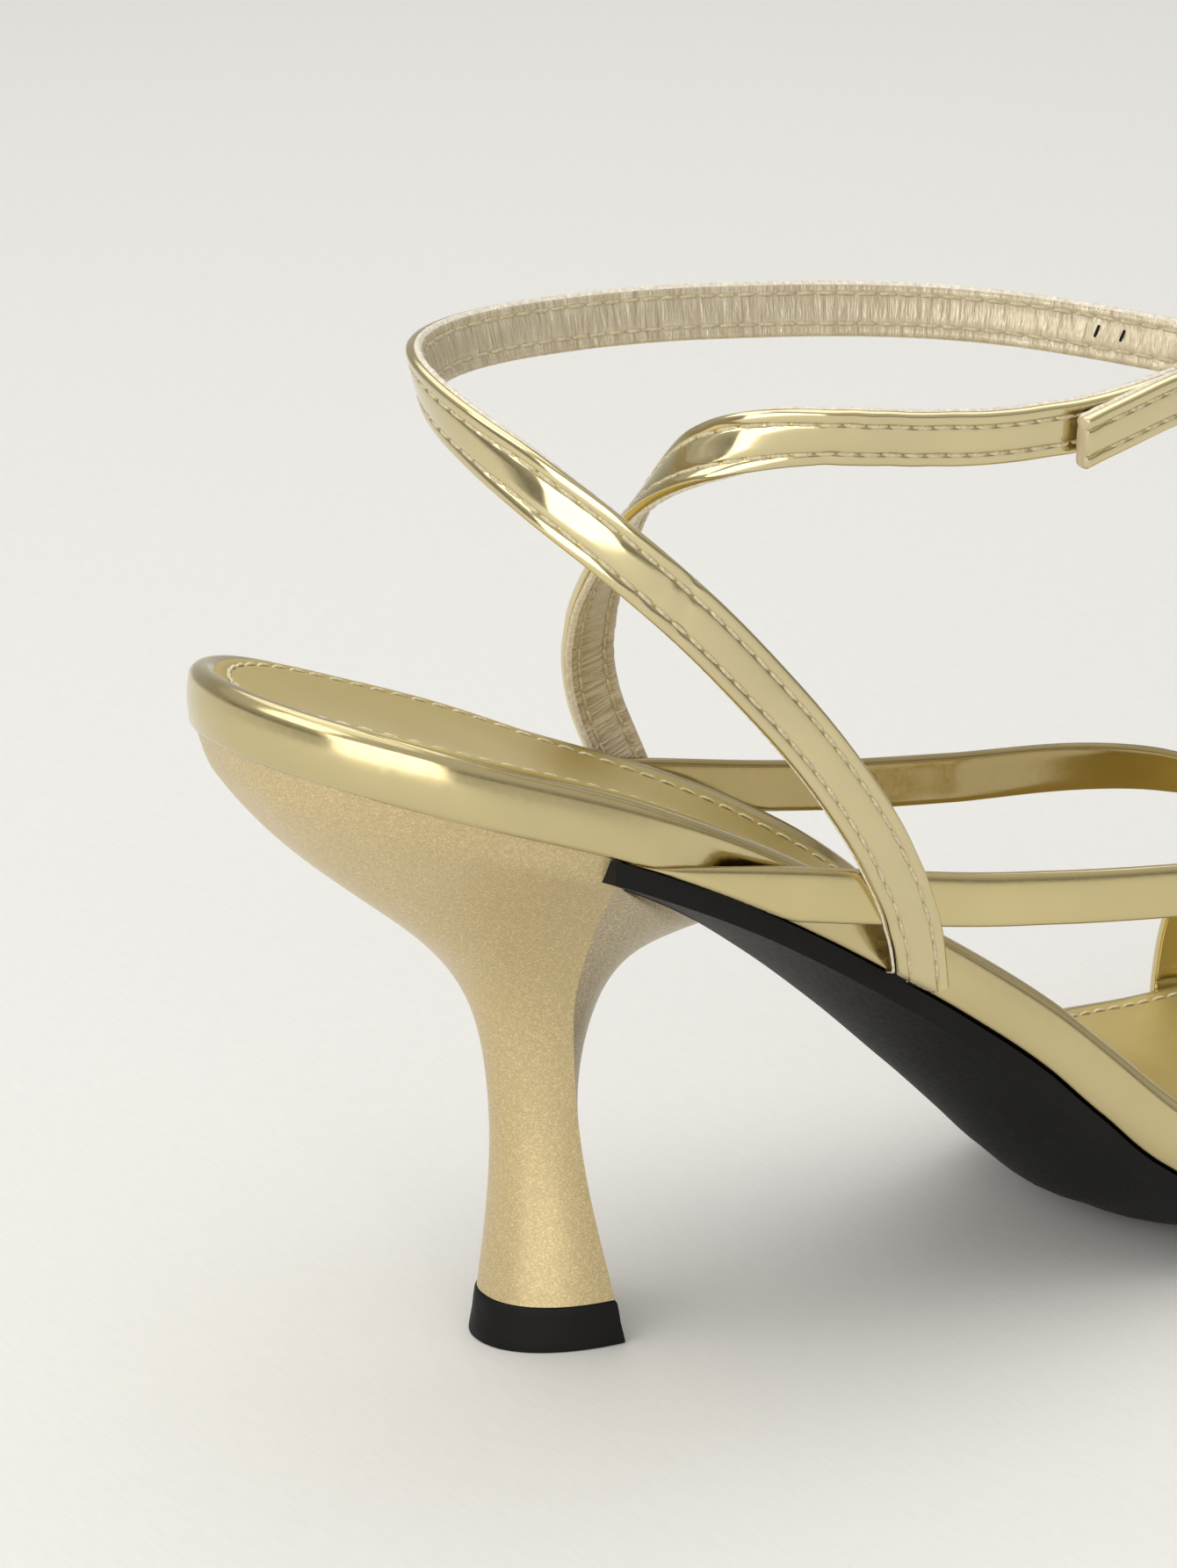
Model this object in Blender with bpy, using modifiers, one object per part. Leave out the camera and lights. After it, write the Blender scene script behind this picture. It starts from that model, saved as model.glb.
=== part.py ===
"""High heel sandal, right foot: sole, footbed, sock, heel, top piece and straps.

Millimetres are used throughout and scaled to metres at the end.  X runs from
the back of the seat to the toe, Y to the inner (big toe) side, Z up from the
floor.  The whole shoe is then shifted so that the origin is at the middle of
its box, on the floor.
"""
import math
from collections import namedtuple

import bmesh
import bpy
import numpy as np

MM = 0.001
GAP = 0.3                  # space left between pieces that touch
SOLE_GAP = 0.6             # the same under the footbed, whose facets are wider

# ---- driving sizes -------------------------------------------------------
LENGTH = 230.0             # footbed, seen from above
SEAT_END = 25.0            # the seat is a half round up to here
TOE_START = 168.0          # the toe is a half round from here
SEAT_POWER = 2.2
TOE_POWER = 2.15
TOE_SWING = 3.0            # how far the toe leans to the inner side
FOOTBED = 6.9              # covered board, square to its slope
OUTSOLE = 2.2
OUTSOLE_BACK = 37.3        # the outsole starts at the heel's breast
SOCK = 1.0
SOCK_INSET = 3.0
LIFT = 5.5                 # heel top piece
STRAP = 6.8                # ankle straps, width
STRAP_THICK = 1.8
VAMP_STRAP = 6.5           # straps round the waist and over the ball
VAMP_THICK = 1.6

# ---- the last ------------------------------------------------------------
# rim: height of the outer rim's top; rise: how much higher the inner rim is;
# dish: hollow across the top; belly: roundness across the underside.
Profile = namedtuple("Profile", "x rim rise dish belly")
PROFILE = [
    Profile(0, 85.2, 0.0, 1.2, 0.6),
    Profile(12, 81.9, 0.0, 1.6, 1.0),
    Profile(25, 77.5, 0.0, 2.0, 1.6),
    Profile(40, 72.1, 0.0, 2.4, 2.2),
    Profile(50, 67.7, 0.3, 2.8, 2.5),
    Profile(60, 62.7, 1.4, 3.2, 2.9),
    Profile(70, 57.1, 3.0, 3.8, 4.4),
    Profile(80, 51.0, 4.3, 4.4, 6.6),
    Profile(90, 44.5, 4.8, 5.0, 9.0),
    Profile(100, 37.2, 4.4, 5.2, 10.3),
    Profile(107, 31.0, 3.8, 5.0, 9.8),
    Profile(115, 23.6, 2.8, 4.2, 7.8),
    Profile(123, 17.8, 1.7, 3.4, 5.8),
    Profile(132, 14.2, 0.8, 2.8, 4.4),
    Profile(142, 12.4, 0.4, 2.3, 3.7),
    Profile(155, 11.7, 0.2, 2.0, 3.2),
    Profile(170, 11.8, 0.0, 1.8, 2.8),
    Profile(185, 12.9, 0.0, 1.6, 2.2),
    Profile(200, 15.2, 0.0, 1.4, 1.6),
    Profile(215, 18.6, 0.0, 1.2, 1.0),
    Profile(230, 22.8, 0.0, 1.0, 0.6),
]
# half widths to the outer and the inner side
Plan = namedtuple("Plan", "x outer inner")
PLAN = [
    Plan(25, 25.5, 25.5),
    Plan(40, 25.5, 25.5),
    Plan(60, 22.5, 23.0),
    Plan(85, 20.5, 21.5),
    Plan(105, 23.5, 24.5),
    Plan(125, 29.5, 31.0),
    Plan(145, 34.5, 37.5),
    Plan(168, 36.6, 40.0),
]

# ---- the heel, ring by ring from the seat down -----------------------------
# back: rearmost point; edge: the corner between side and breast, at half
# width b; tip: the middle of the breast, drawn forward into a tongue on top.
HeelRing = namedtuple("HeelRing", "back_x back_z edge_x edge_z b tip_x tip_z")
HEEL = [
    HeelRing(0.5, 0.0, 38.5, 0.0, 24.6, 62.0, 0.0),     # lies on the seat
    HeelRing(2.2, 73.5, 39.2, 61.5, 22.0, 58.0, 47.4),
    HeelRing(5.3, 69.0, 40.0, 58.0, 18.5, 54.5, 46.4),
    HeelRing(9.6, 64.3, 40.3, 54.5, 15.2, 52.0, 45.0),
    HeelRing(14.0, 60.6, 40.7, 51.0, 12.8, 50.2, 43.2),
    HeelRing(18.2, 57.2, 41.0, 48.3, 11.0, 48.9, 41.2),
    HeelRing(22.6, 53.8, 41.1, 45.8, 9.6, 47.9, 38.8),
    HeelRing(27.0, 50.2, 41.4, 43.3, 8.4, 47.1, 36.2),
    HeelRing(31.2, 45.5, 41.9, 40.4, 7.3, 46.5, 33.6),
    HeelRing(33.6, 40.5, 42.5, 36.6, 6.4, 46.1, 31.0),
    HeelRing(34.9, 34.5, 42.8, 32.0, 6.0, 45.7, 28.0),
    HeelRing(35.6, 27.0, 43.4, 26.2, 6.0, 45.4, 24.2),
    HeelRing(35.5, 20.0, 44.1, 19.8, 6.6, 45.9, 19.0),
    HeelRing(35.0, 13.0, 45.2, 13.0, 7.8, 46.7, 12.8),
    HeelRing(34.0, LIFT + GAP, 46.6, LIFT + GAP, 9.0, 47.8, LIFT + GAP),
]
LIFT_TOP = HeelRing(33.8, LIFT, 46.7, LIFT, 9.1, 47.9, LIFT)
LIFT_FOOT = HeelRing(32.8, 0.0, 47.7, 0.0, 9.6, 48.9, 0.0)

# ---- the straps --------------------------------------------------------------
# middle of the strap, the compass bearing that its outer face looks to in plan
# (degrees from +X towards +Y), how far that face looks up, and its width.
Fold = namedtuple("Fold", "x y z bearing up width")
LONG_STRAP = [
    Fold(80.3, -22.4, 42.0, -90, 0, STRAP),       # tucked under the outer rim
    Fold(77.6, -24.4, 51.6, -90, 0, STRAP),
    Fold(73.1, -25.4, 60.8, -90, -4, STRAP),
    Fold(67.3, -26.2, 69.3, -90, -6, STRAP),
    Fold(61.0, -26.8, 77.1, -90, -8, STRAP),
    Fold(54.3, -27.1, 84.4, -91, -9, STRAP),
    Fold(47.8, -27.0, 91.2, -95, -10, STRAP),
    Fold(41.1, -26.4, 97.5, -104, -11, STRAP),
    Fold(35.1, -24.2, 103.1, -120, -12, STRAP),
    Fold(30.4, -19.2, 107.9, -143, -13, STRAP),
    Fold(27.9, -11.0, 111.6, -166, -14, STRAP),   # behind the ankle
    Fold(27.9, -1.0, 114.2, -183, -15, STRAP),
    Fold(30.8, 8.5, 115.7, -206, -15, STRAP),
    Fold(37.0, 15.2, 116.3, -230, -15, STRAP),
    Fold(46.5, 19.8, 116.5, -248, -14, STRAP),
    Fold(59.7, 22.9, 116.3, -260, -13, STRAP),
    Fold(72.4, 24.4, 115.8, -267, -13, STRAP),    # inner side
    Fold(84.6, 24.7, 115.0, -272, -13, STRAP),
    Fold(96.4, 23.8, 114.2, -280, -13, STRAP),
    Fold(107.3, 21.4, 113.3, -289, -13, STRAP),
    Fold(116.9, 17.2, 112.2, -300, -12, STRAP),
    Fold(125.4, 11.4, 110.8, -311, -12, STRAP),
    Fold(133.0, 4.6, 109.3, -325, -12, STRAP),
    Fold(137.6, -3.6, 108.8, -355, -12, STRAP),   # round the front
    Fold(136.2, -12.6, 109.2, -393, -12, STRAP),
    Fold(129.6, -19.4, 110.0, -422, -13, STRAP),
    Fold(121.0, -23.4, 110.8, -437, -14, STRAP),
    Fold(112.0, -26.0, 110.9, -444, -16, STRAP),
    Fold(104.9, -27.3, 109.4, -448, -17, STRAP),
    Fold(97.0, -28.2, 107.5, -450, -18, STRAP),   # end tab
]
SHORT_STRAP = [
    Fold(69.4, 24.8, 54.0, 90, 0, STRAP),         # tucked under the inner rim
    Fold(66.2, 25.3, 62.0, 90, 0, STRAP),
    Fold(63.0, 24.6, 68.4, 92, -2, STRAP),
    Fold(60.3, 21.9, 75.4, 98, -4, STRAP),
    Fold(57.8, 16.4, 82.6, 110, -6, STRAP),
    Fold(55.4, 8.6, 90.2, 130, -8, STRAP),
    Fold(53.6, 0.0, 97.6, 158, -10, STRAP),
    Fold(52.7, -7.8, 103.6, 182, -12, STRAP),
    Fold(53.6, -14.6, 107.9, 206, -15, STRAP),
    Fold(56.9, -19.3, 110.1, 230, -18, STRAP),
    Fold(61.5, -22.2, 110.8, 246, -20, STRAP),
    Fold(66.9, -23.8, 110.5, 256, -20, STRAP),
    Fold(72.8, -24.8, 109.9, 263, -20, STRAP),
    Fold(78.8, -25.4, 109.3, 268, -20, STRAP),
    Fold(85.3, -25.6, 108.8, 271, -20, STRAP),
    Fold(91.9, -25.6, 108.7, 273, -19, STRAP),
    Fold(98.6, -25.6, 109.3, 275, -18, STRAP),
    Fold(105.3, -26.2, 110.8, 276, -16, STRAP),   # held under the end tab
    Fold(111.9, -25.1, 112.2, 277, -15, STRAP),
]
OUTER_WAIST = [
    Fold(44.0, -26.4, 63.5, -90, 0, 1.0),         # comes out of the rim's seam
    Fold(52.0, -25.4, 60.9, -90, 0, 3.4),
    Fold(60.0, -24.4, 58.0, -90, 0, 6.2),
    Fold(71.0, -23.8, 55.6, -90, 0, VAMP_STRAP),
    Fold(85.8, -24.0, 53.2, -92, 0, VAMP_STRAP),
    Fold(99.5, -25.4, 51.8, -95, 0, VAMP_STRAP),
    Fold(113.3, -27.0, 50.9, -93, 0, VAMP_STRAP),
    Fold(128.0, -27.6, 50.0, -88, 4, VAMP_STRAP),
    Fold(142.0, -26.4, 48.8, -80, 14, VAMP_STRAP),
    Fold(151.5, -23.6, 46.8, -74, 34, VAMP_STRAP),
    Fold(159.0, -20.5, 44.7, -72, 52, VAMP_STRAP),
    Fold(164.6, -18.1, 45.9, -80, 60, VAMP_STRAP),
]
INNER_WAIST = [
    Fold(44.0, 26.3, 63.6, 90, 0, 1.0),
    Fold(52.0, 25.3, 61.4, 90, 0, 3.2),
    Fold(60.0, 24.5, 59.0, 90, 0, 6.0),
    Fold(71.0, 24.1, 57.3, 90, 0, VAMP_STRAP),
    Fold(85.5, 24.0, 54.9, 91, 0, VAMP_STRAP),
    Fold(101.0, 24.6, 52.8, 93, 0, VAMP_STRAP),
    Fold(118.0, 25.8, 51.0, 92, 0, VAMP_STRAP),
    Fold(135.0, 26.6, 49.7, 86, 8, VAMP_STRAP),
    Fold(147.0, 25.0, 48.2, 78, 24, VAMP_STRAP),
    Fold(154.5, 22.6, 46.2, 74, 42, VAMP_STRAP),
    Fold(160.5, 20.4, 45.4, 74, 56, VAMP_STRAP),
    Fold(167.0, 18.0, 46.6, 82, 62, VAMP_STRAP),
]
# the band over the ball is an arch worked out from these
BALL_X, BALL_LEAN, BALL_SKEW = 159.2, 5.8, 3.3
BALL_OUTER, BALL_INNER = 38.4, 41.8
BALL_FOOT, BALL_SPRING, BALL_RISE = 4.6, 9.0, 43.0


# ---- curves through the tables -------------------------------------------------
def through(rows, key, name):
    """A curve through one column of a table that never overshoots a row."""
    xs = np.array([getattr(r, key) for r in rows], float)
    ys = np.array([getattr(r, name) for r in rows], float)
    h, d = np.diff(xs), np.diff(ys) / np.diff(xs)
    m = np.zeros_like(ys)
    m[0], m[-1] = d[0], d[-1]
    for i in range(1, len(xs) - 1):
        if d[i - 1] * d[i] > 0:
            a, b = 2 * h[i] + h[i - 1], h[i] + 2 * h[i - 1]
            m[i] = (a + b) / (a / d[i - 1] + b / d[i])

    def value(x):
        x = min(max(x, xs[0]), xs[-1])
        i = min(int(np.searchsorted(xs, x, side="right")) - 1, len(h) - 1)
        s = (x - xs[i]) / h[i]
        return float((1 + 2 * s) * (1 - s) ** 2 * ys[i] + s * (1 - s) ** 2 * h[i] * m[i]
                     + s * s * (3 - 2 * s) * ys[i + 1] + s * s * (s - 1) * h[i] * m[i + 1])
    return value


rim_at = through(PROFILE, "x", "rim")
rise_at = through(PROFILE, "x", "rise")
dish_at = through(PROFILE, "x", "dish")
belly_at = through(PROFILE, "x", "belly")
outer_at = through(PLAN, "x", "outer")
inner_at = through(PLAN, "x", "inner")


def half_width(side, x):
    """Half width to the outer (-1) or inner (+1) side, with round seat and toe."""
    at = inner_at if side > 0 else outer_at
    w = at(min(max(x, SEAT_END), TOE_START))
    if x < SEAT_END:
        w *= math.sqrt(max(0.0, 1 - ((SEAT_END - x) / SEAT_END) ** SEAT_POWER))
    if x > TOE_START:
        s = (x - TOE_START) / (LENGTH - TOE_START)
        w *= max(0.0, 1 - s ** TOE_POWER) ** (1 / TOE_POWER)
    return w


def middle(x):
    return TOE_SWING * max(0.0, (x - 150.0) / 80.0) ** 2


def slope_stretch(x):
    """How much taller a layer stands than it is thick, on the slope at x."""
    d = (rim_at(x + 1.0) - rim_at(x - 1.0)) / 2.0
    return math.sqrt(1 + d * d)


def across(x, y):
    """Place across the footbed, from -1 at the outer rim to +1 at the inner."""
    side = 1 if y > middle(x) else -1
    w = max(half_width(side, x), 0.5)
    return max(-1.0, min(1.0, (y - middle(x)) / w))


def rim_height(x, t):
    return rim_at(x) + rise_at(x) * ((1 + t) / 2) ** 2


def footbed_top(x, t):
    return rim_height(x, t) - dish_at(x) * (1 - t * t)


def footbed_under(x, t):
    return rim_height(x, t) - FOOTBED * slope_stretch(x) - belly_at(x) * (1 - t * t)


def sock_under(x, t):
    return footbed_top(x, t) + GAP


def sock_top(x, t):
    return sock_under(x, t) + SOCK


def outsole_top(x, t):
    return footbed_under(x, t) - SOLE_GAP


def outsole_under(x, t):
    return max(0.0, outsole_top(x, t) - OUTSOLE * slope_stretch(x))


def heel_seat(x, y):
    """The heel fits the footbed's underside; the outsole's bed is cut after."""
    return footbed_under(x, across(x, y)) - GAP


# ---- solids --------------------------------------------------------------------
def clear_scene():
    for obj in list(bpy.data.objects):
        bpy.data.objects.remove(obj, do_unlink=True)


def material(name, colour, roughness, metallic):
    mat = bpy.data.materials.new(name)
    mat.use_nodes = True
    shader = mat.node_tree.nodes["Principled BSDF"]
    shader.inputs["Base Color"].default_value = (*colour, 1.0)
    shader.inputs["Roughness"].default_value = roughness
    shader.inputs["Metallic"].default_value = metallic
    return mat


def mesh_object(name, bm, collection, mat, sharp=40):
    bmesh.ops.recalc_face_normals(bm, faces=bm.faces)
    mesh = bpy.data.meshes.new(name)
    bm.to_mesh(mesh)
    bm.free()
    mesh.shade_smooth()
    mesh.set_sharp_from_angle(angle=math.radians(sharp))
    obj = bpy.data.objects.new(name, mesh)
    obj.data.materials.append(mat)
    collection.objects.link(obj)
    return obj


def loft(rings, cap_first=True, cap_last=True):
    """Closed skin over rings that have the same number of points."""
    bm = bmesh.new()
    loops = [[bm.verts.new([c * MM for c in p]) for p in ring] for ring in rings]
    n = len(loops[0])
    for a, b in zip(loops, loops[1:]):
        for i in range(n):
            bm.faces.new((a[i], a[(i + 1) % n], b[(i + 1) % n], b[i]))
    if cap_first:
        bm.faces.new(loops[0][::-1])
    if cap_last:
        bm.faces.new(loops[-1])
    return bm


def stations(first, last):
    """Places along the sole, closer together round the seat and the toe."""
    xs = [SEAT_END * (1 - math.cos(math.radians(a))) for a in range(2, 90, 11)]
    n = 19
    xs += [SEAT_END + (TOE_START - SEAT_END) * i / n for i in range(n + 1)]
    xs += [TOE_START + (LENGTH - TOE_START) * math.sin(math.radians(a)) for a in range(9, 90, 8)]
    return [first] + [x for x in xs if first + 0.4 < x < last - 0.4] + [last]


def slab(first, last, inset, top, under, columns=8):
    """Sheet with the sole's outline between two heights over (x, t)."""
    rings = []
    for x in stations(first, last):
        ring = []
        for i in range(columns + 1):
            t = -1 + 2 * i / columns
            side = 1 if t > 0 else -1
            full = max(half_width(side, x), 0.5)
            w = max(full - inset, 0.4)
            ring.append((x, middle(x) + t * w, t * min(1.0, w / full)))
        upper = [(x_, y_, top(x_, t_)) for x_, y_, t_ in ring]
        lower = [(x_, y_, under(x_, t_)) for x_, y_, t_ in reversed(ring)]
        rings.append(upper + lower)
    return loft(rings)


SIDE_POINTS, FRONT_POINTS = 25, 11


def heel_outline(r, power):
    """D-shaped ring: round back and sides, then the breast drawn to its tip."""
    ring = []
    for i in range(SIDE_POINTS):
        a = -math.pi / 2 + math.pi * i / (SIDE_POINTS - 1)
        c, s = abs(math.cos(a)), math.sin(a)
        f = c ** (2 / power) if 0 < i < SIDE_POINTS - 1 else 0.0
        x = r.edge_x - (r.edge_x - r.back_x) * f
        y = r.b * math.copysign(abs(s) ** (2 / power), s)
        z = r.edge_z + (r.back_z - r.edge_z) * f
        ring.append((x, y, z))
    for i in range(1, FRONT_POINTS + 1):
        y = r.b * (1 - 2 * i / (FRONT_POINTS + 1))
        f = 1 - abs(y / r.b) ** 1.7
        ring.append((r.edge_x + (r.tip_x - r.edge_x) * f, y,
                     r.edge_z + (r.tip_z - r.edge_z) * f))
    return ring


def heel_solid():
    seat = [(x, y, heel_seat(x, y)) for x, y, _ in heel_outline(HEEL[0], 2.7)]
    centre = (26.0, 0.0)
    rings = []
    for k in (0.12, 0.35, 0.6, 0.82):          # the seat follows the footbed
        rings.append([(centre[0] + (x - centre[0]) * k, y * k,
                       heel_seat(centre[0] + (x - centre[0]) * k, y * k)) for x, y, _ in seat])
    rings.append(seat)
    for i, r in enumerate(HEEL[1:], 1):
        rings.append(heel_outline(r, 2.7 - 0.5 * min(1.0, i / 6)))
    return loft(rings)


def lift_solid():
    return loft([heel_outline(LIFT_TOP, 2.2), heel_outline(LIFT_FOOT, 2.2)])


# ---- straps --------------------------------------------------------------------
def smooth_path(rows, step):
    """Even rows along a smooth curve through a strap's folds."""
    p = np.array(rows, float)
    d = np.linalg.norm(np.diff(p[:, :3], axis=0), axis=1)
    knots = np.concatenate([[0], np.cumsum(d)])
    m = np.zeros_like(p)
    m[1:-1] = (p[2:] - p[:-2]) / (knots[2:] - knots[:-2])[:, None]
    m[0] = (p[1] - p[0]) / d[0]
    m[-1] = (p[-1] - p[-2]) / d[-1]
    count = max(4, int(round(knots[-1] / step)))
    out = []
    for q in np.linspace(0, knots[-1], count + 1):
        i = min(int(np.searchsorted(knots, q, side="right")) - 1, len(d) - 1)
        s, h = (q - knots[i]) / d[i], d[i]
        out.append((1 + 2 * s) * (1 - s) ** 2 * p[i] + s * (1 - s) ** 2 * h * m[i]
                   + s * s * (3 - 2 * s) * p[i + 1] + s * s * (s - 1) * h * m[i + 1])
    return np.array(out)


def ribbon(name, rows, thick, step, collection, mat):
    """Strap: a sheet through the folds, given its thickness on both faces."""
    path = smooth_path(rows, step)
    mid = path[:, :3]
    along = np.gradient(mid, axis=0)
    along /= np.linalg.norm(along, axis=1)[:, None]
    bear, up = np.radians(path[:, 3]), np.radians(path[:, 4])
    face = np.stack([np.cos(up) * np.cos(bear), np.cos(up) * np.sin(bear), np.sin(up)], -1)
    face -= along * np.sum(face * along, axis=1)[:, None]
    face /= np.linalg.norm(face, axis=1)[:, None]
    side = np.cross(along, face)
    bm = bmesh.new()
    lines = []
    for m, s, f, w in zip(mid, side, face, path[:, 5]):
        line = []
        for k in (-0.5, 0.0, 0.5):
            crown = 0.2 * (1 - 4 * k * k)
            line.append(bm.verts.new((m + s * w * k + f * crown) * MM))
        lines.append(line)
    for a, b in zip(lines, lines[1:]):
        for i in range(2):
            bm.faces.new((a[i], a[i + 1], b[i + 1], b[i]))
    obj = mesh_object(name, bm, collection, mat)
    solid = obj.modifiers.new("thickness", "SOLIDIFY")
    solid.thickness = thick * MM
    solid.offset = 0.0
    solid.use_even_offset = True
    return obj


def ball_band():
    """Folds of the band over the ball, from the outer rim to the inner."""
    def fold(angle, z=None):
        c, s = -math.cos(angle), math.sin(angle)
        y = (BALL_INNER if c > 0 else BALL_OUTER) * c
        x = BALL_X + BALL_SKEW * c + BALL_LEAN * s
        up = math.degrees(math.atan2(s * 40.0, abs(c) * 43.0))
        bearing = 90 if c > 0 else -90
        return Fold(x, y, BALL_SPRING + BALL_RISE * s if z is None else z,
                    bearing, up if c <= 0 else 180 - up, VAMP_STRAP)
    rows = [fold(0.0, BALL_FOOT)]
    n = 16
    for i in range(n + 1):
        rows.append(fold(math.pi * i / n))
    rows.append(fold(math.pi, BALL_FOOT))
    # one bearing throughout, so the face turns evenly from side to side
    return [r._replace(bearing=-90) for r in rows]


def main():
    clear_scene()
    shoe = bpy.data.collections.new("high_heel_sandal")
    joined = bpy.data.collections.new("shapes_to_join_and_cut")
    for c in (shoe, joined):
        bpy.context.scene.collection.children.link(c)

    black = material("outsole_rubber", (0.018, 0.017, 0.017), 0.55, 0.0)
    foil = material("footbed_foil", (0.62, 0.52, 0.25), 0.22, 1.0)
    satin = material("sock_satin", (0.55, 0.43, 0.2), 0.4, 0.8)
    glitter = material("heel_glitter", (0.52, 0.42, 0.22), 0.38, 0.8)
    tread = material("top_piece_rubber", (0.016, 0.016, 0.016), 0.6, 0.0)
    gold = material("strap_leather", (0.64, 0.54, 0.27), 0.24, 1.0)

    parts = [
        mesh_object("outsole", slab(OUTSOLE_BACK, LENGTH - 0.4, 0.4, outsole_top, outsole_under),
                    shoe, black),
        mesh_object("footbed", slab(0.02, LENGTH - 0.02, 0.0, footbed_top, footbed_under), shoe, foil),
        mesh_object("insole_sock",
                    slab(SOCK_INSET, LENGTH - SOCK_INSET, SOCK_INSET,
                         sock_top, sock_under), shoe, satin),
        mesh_object("heel", heel_solid(), shoe, glitter),
        mesh_object("heel_top_piece", lift_solid(), shoe, tread),
    ]
    bed = mesh_object("outsole_bed", slab(OUTSOLE_BACK - GAP, 80.0, -2.0,
                                          lambda x, t: footbed_under(x, t) + 1.0,
                                          lambda x, t: outsole_under(x, t) - GAP), joined, black)
    heel_cut = parts[3].modifiers.new("bed_for_outsole", "BOOLEAN")
    heel_cut.operation = "DIFFERENCE"
    heel_cut.solver = "EXACT"
    heel_cut.object = bed
    upper = ribbon("upper_straps", LONG_STRAP, STRAP_THICK, 5.5, shoe, gold)
    others = [
        ribbon("short_strap_shape", SHORT_STRAP, STRAP_THICK, 5.5, joined, gold),
        ribbon("outer_waist_shape", OUTER_WAIST, VAMP_THICK, 7.0, joined, gold),
        ribbon("inner_waist_shape", INNER_WAIST, VAMP_THICK, 7.0, joined, gold),
        ribbon("ball_band_shape", ball_band(), VAMP_THICK, 6.0, joined, gold),
    ]
    for piece in others + [bed]:
        piece.hide_render = True
        piece.display_type = "WIRE"
    for piece in others:                       # joined where the straps cross
        union = upper.modifiers.new("joined_to_" + piece.name, "BOOLEAN")
        union.operation = "UNION"
        union.solver = "EXACT"
        union.object = piece
    parts.append(upper)

    # origin at the middle of the shoe's box, on the floor
    bpy.context.view_layer.update()
    deps = bpy.context.evaluated_depsgraph_get()
    points = []
    for obj in parts:
        mesh = obj.evaluated_get(deps).to_mesh()
        points.extend(v.co.copy() for v in mesh.vertices)
        obj.evaluated_get(deps).to_mesh_clear()
    low = [min(p[i] for p in points) for i in range(3)]
    high = [max(p[i] for p in points) for i in range(3)]
    base = bpy.data.objects.new("shoe_origin", None)
    shoe.objects.link(base)
    base.location = (-(low[0] + high[0]) / 2, -(low[1] + high[1]) / 2, -low[2])
    for obj in parts + others + [bed]:
        obj.parent = base


main()
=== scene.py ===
import math
import random

import bmesh
import bpy
import numpy as np
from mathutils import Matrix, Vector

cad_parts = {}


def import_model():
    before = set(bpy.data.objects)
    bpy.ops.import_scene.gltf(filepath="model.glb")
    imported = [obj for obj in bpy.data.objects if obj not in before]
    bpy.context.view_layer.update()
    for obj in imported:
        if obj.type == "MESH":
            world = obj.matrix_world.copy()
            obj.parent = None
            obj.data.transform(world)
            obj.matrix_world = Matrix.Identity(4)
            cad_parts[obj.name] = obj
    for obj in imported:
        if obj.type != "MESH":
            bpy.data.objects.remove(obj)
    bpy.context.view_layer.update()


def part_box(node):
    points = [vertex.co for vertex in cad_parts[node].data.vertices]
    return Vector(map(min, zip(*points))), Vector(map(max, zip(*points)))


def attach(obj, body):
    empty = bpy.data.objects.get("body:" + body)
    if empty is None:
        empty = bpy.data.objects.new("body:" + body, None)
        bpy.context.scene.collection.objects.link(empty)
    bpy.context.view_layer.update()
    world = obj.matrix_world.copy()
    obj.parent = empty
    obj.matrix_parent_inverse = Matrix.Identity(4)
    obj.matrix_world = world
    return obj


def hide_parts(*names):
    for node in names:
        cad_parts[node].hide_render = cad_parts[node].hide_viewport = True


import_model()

MM = 0.001
rng = random.Random(7)

# the shoe's own millimetre frame: x from the back of the seat, y to the inner side
seat_low, seat_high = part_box("footbed")
lift_low, lift_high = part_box("heel_top_piece")
OX = seat_low[0] / MM - 0.02
OY = (lift_low[1] + lift_high[1]) / 2 / MM


def world(p):
    return ((p[0] + OX) * MM, (p[1] + OY) * MM, p[2] * MM)


# ------------------------------------------------------------------ sizes
LENGTH, SEAT_END, TOE_START = 230.0, 25.0, 168.0
SEAT_POWER, TOE_POWER, TOE_SWING = 2.2, 2.15, 3.0
FOOTBED, OUTSOLE, SOLE_GAP, OUTSOLE_BACK = 6.9, 2.2, 0.6, 37.3
LIFT, STRAP, STRAP_THICK, VAMP_STRAP, VAMP_THICK = 5.5, 6.8, 1.8, 6.5, 1.6

# x, outer rim height, inner rim's extra, dish across the top, belly underneath
PROFILE = np.array([
    (0, 85.2, 0.0, 1.2, 0.6), (12, 81.9, 0.0, 1.6, 1.0), (25, 77.5, 0.0, 2.0, 1.6),
    (40, 72.1, 0.0, 2.4, 2.2), (50, 67.7, 0.3, 2.8, 2.5), (60, 62.7, 1.4, 3.2, 2.9),
    (70, 57.1, 3.0, 3.8, 4.4), (80, 51.0, 4.3, 4.4, 6.6), (90, 44.5, 4.8, 5.0, 9.0),
    (100, 37.2, 4.4, 5.2, 10.3), (107, 31.0, 3.8, 5.0, 9.8), (115, 23.6, 2.8, 4.2, 7.8),
    (123, 17.8, 1.7, 3.4, 5.8), (132, 14.2, 0.8, 2.8, 4.4), (142, 12.4, 0.4, 2.3, 3.7),
    (155, 11.7, 0.2, 2.0, 3.2), (170, 11.8, 0.0, 1.8, 2.8), (185, 12.9, 0.0, 1.6, 2.2),
    (200, 15.2, 0.0, 1.4, 1.6), (215, 18.6, 0.0, 1.2, 1.0), (230, 22.8, 0.0, 1.0, 0.6)], float)
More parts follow.
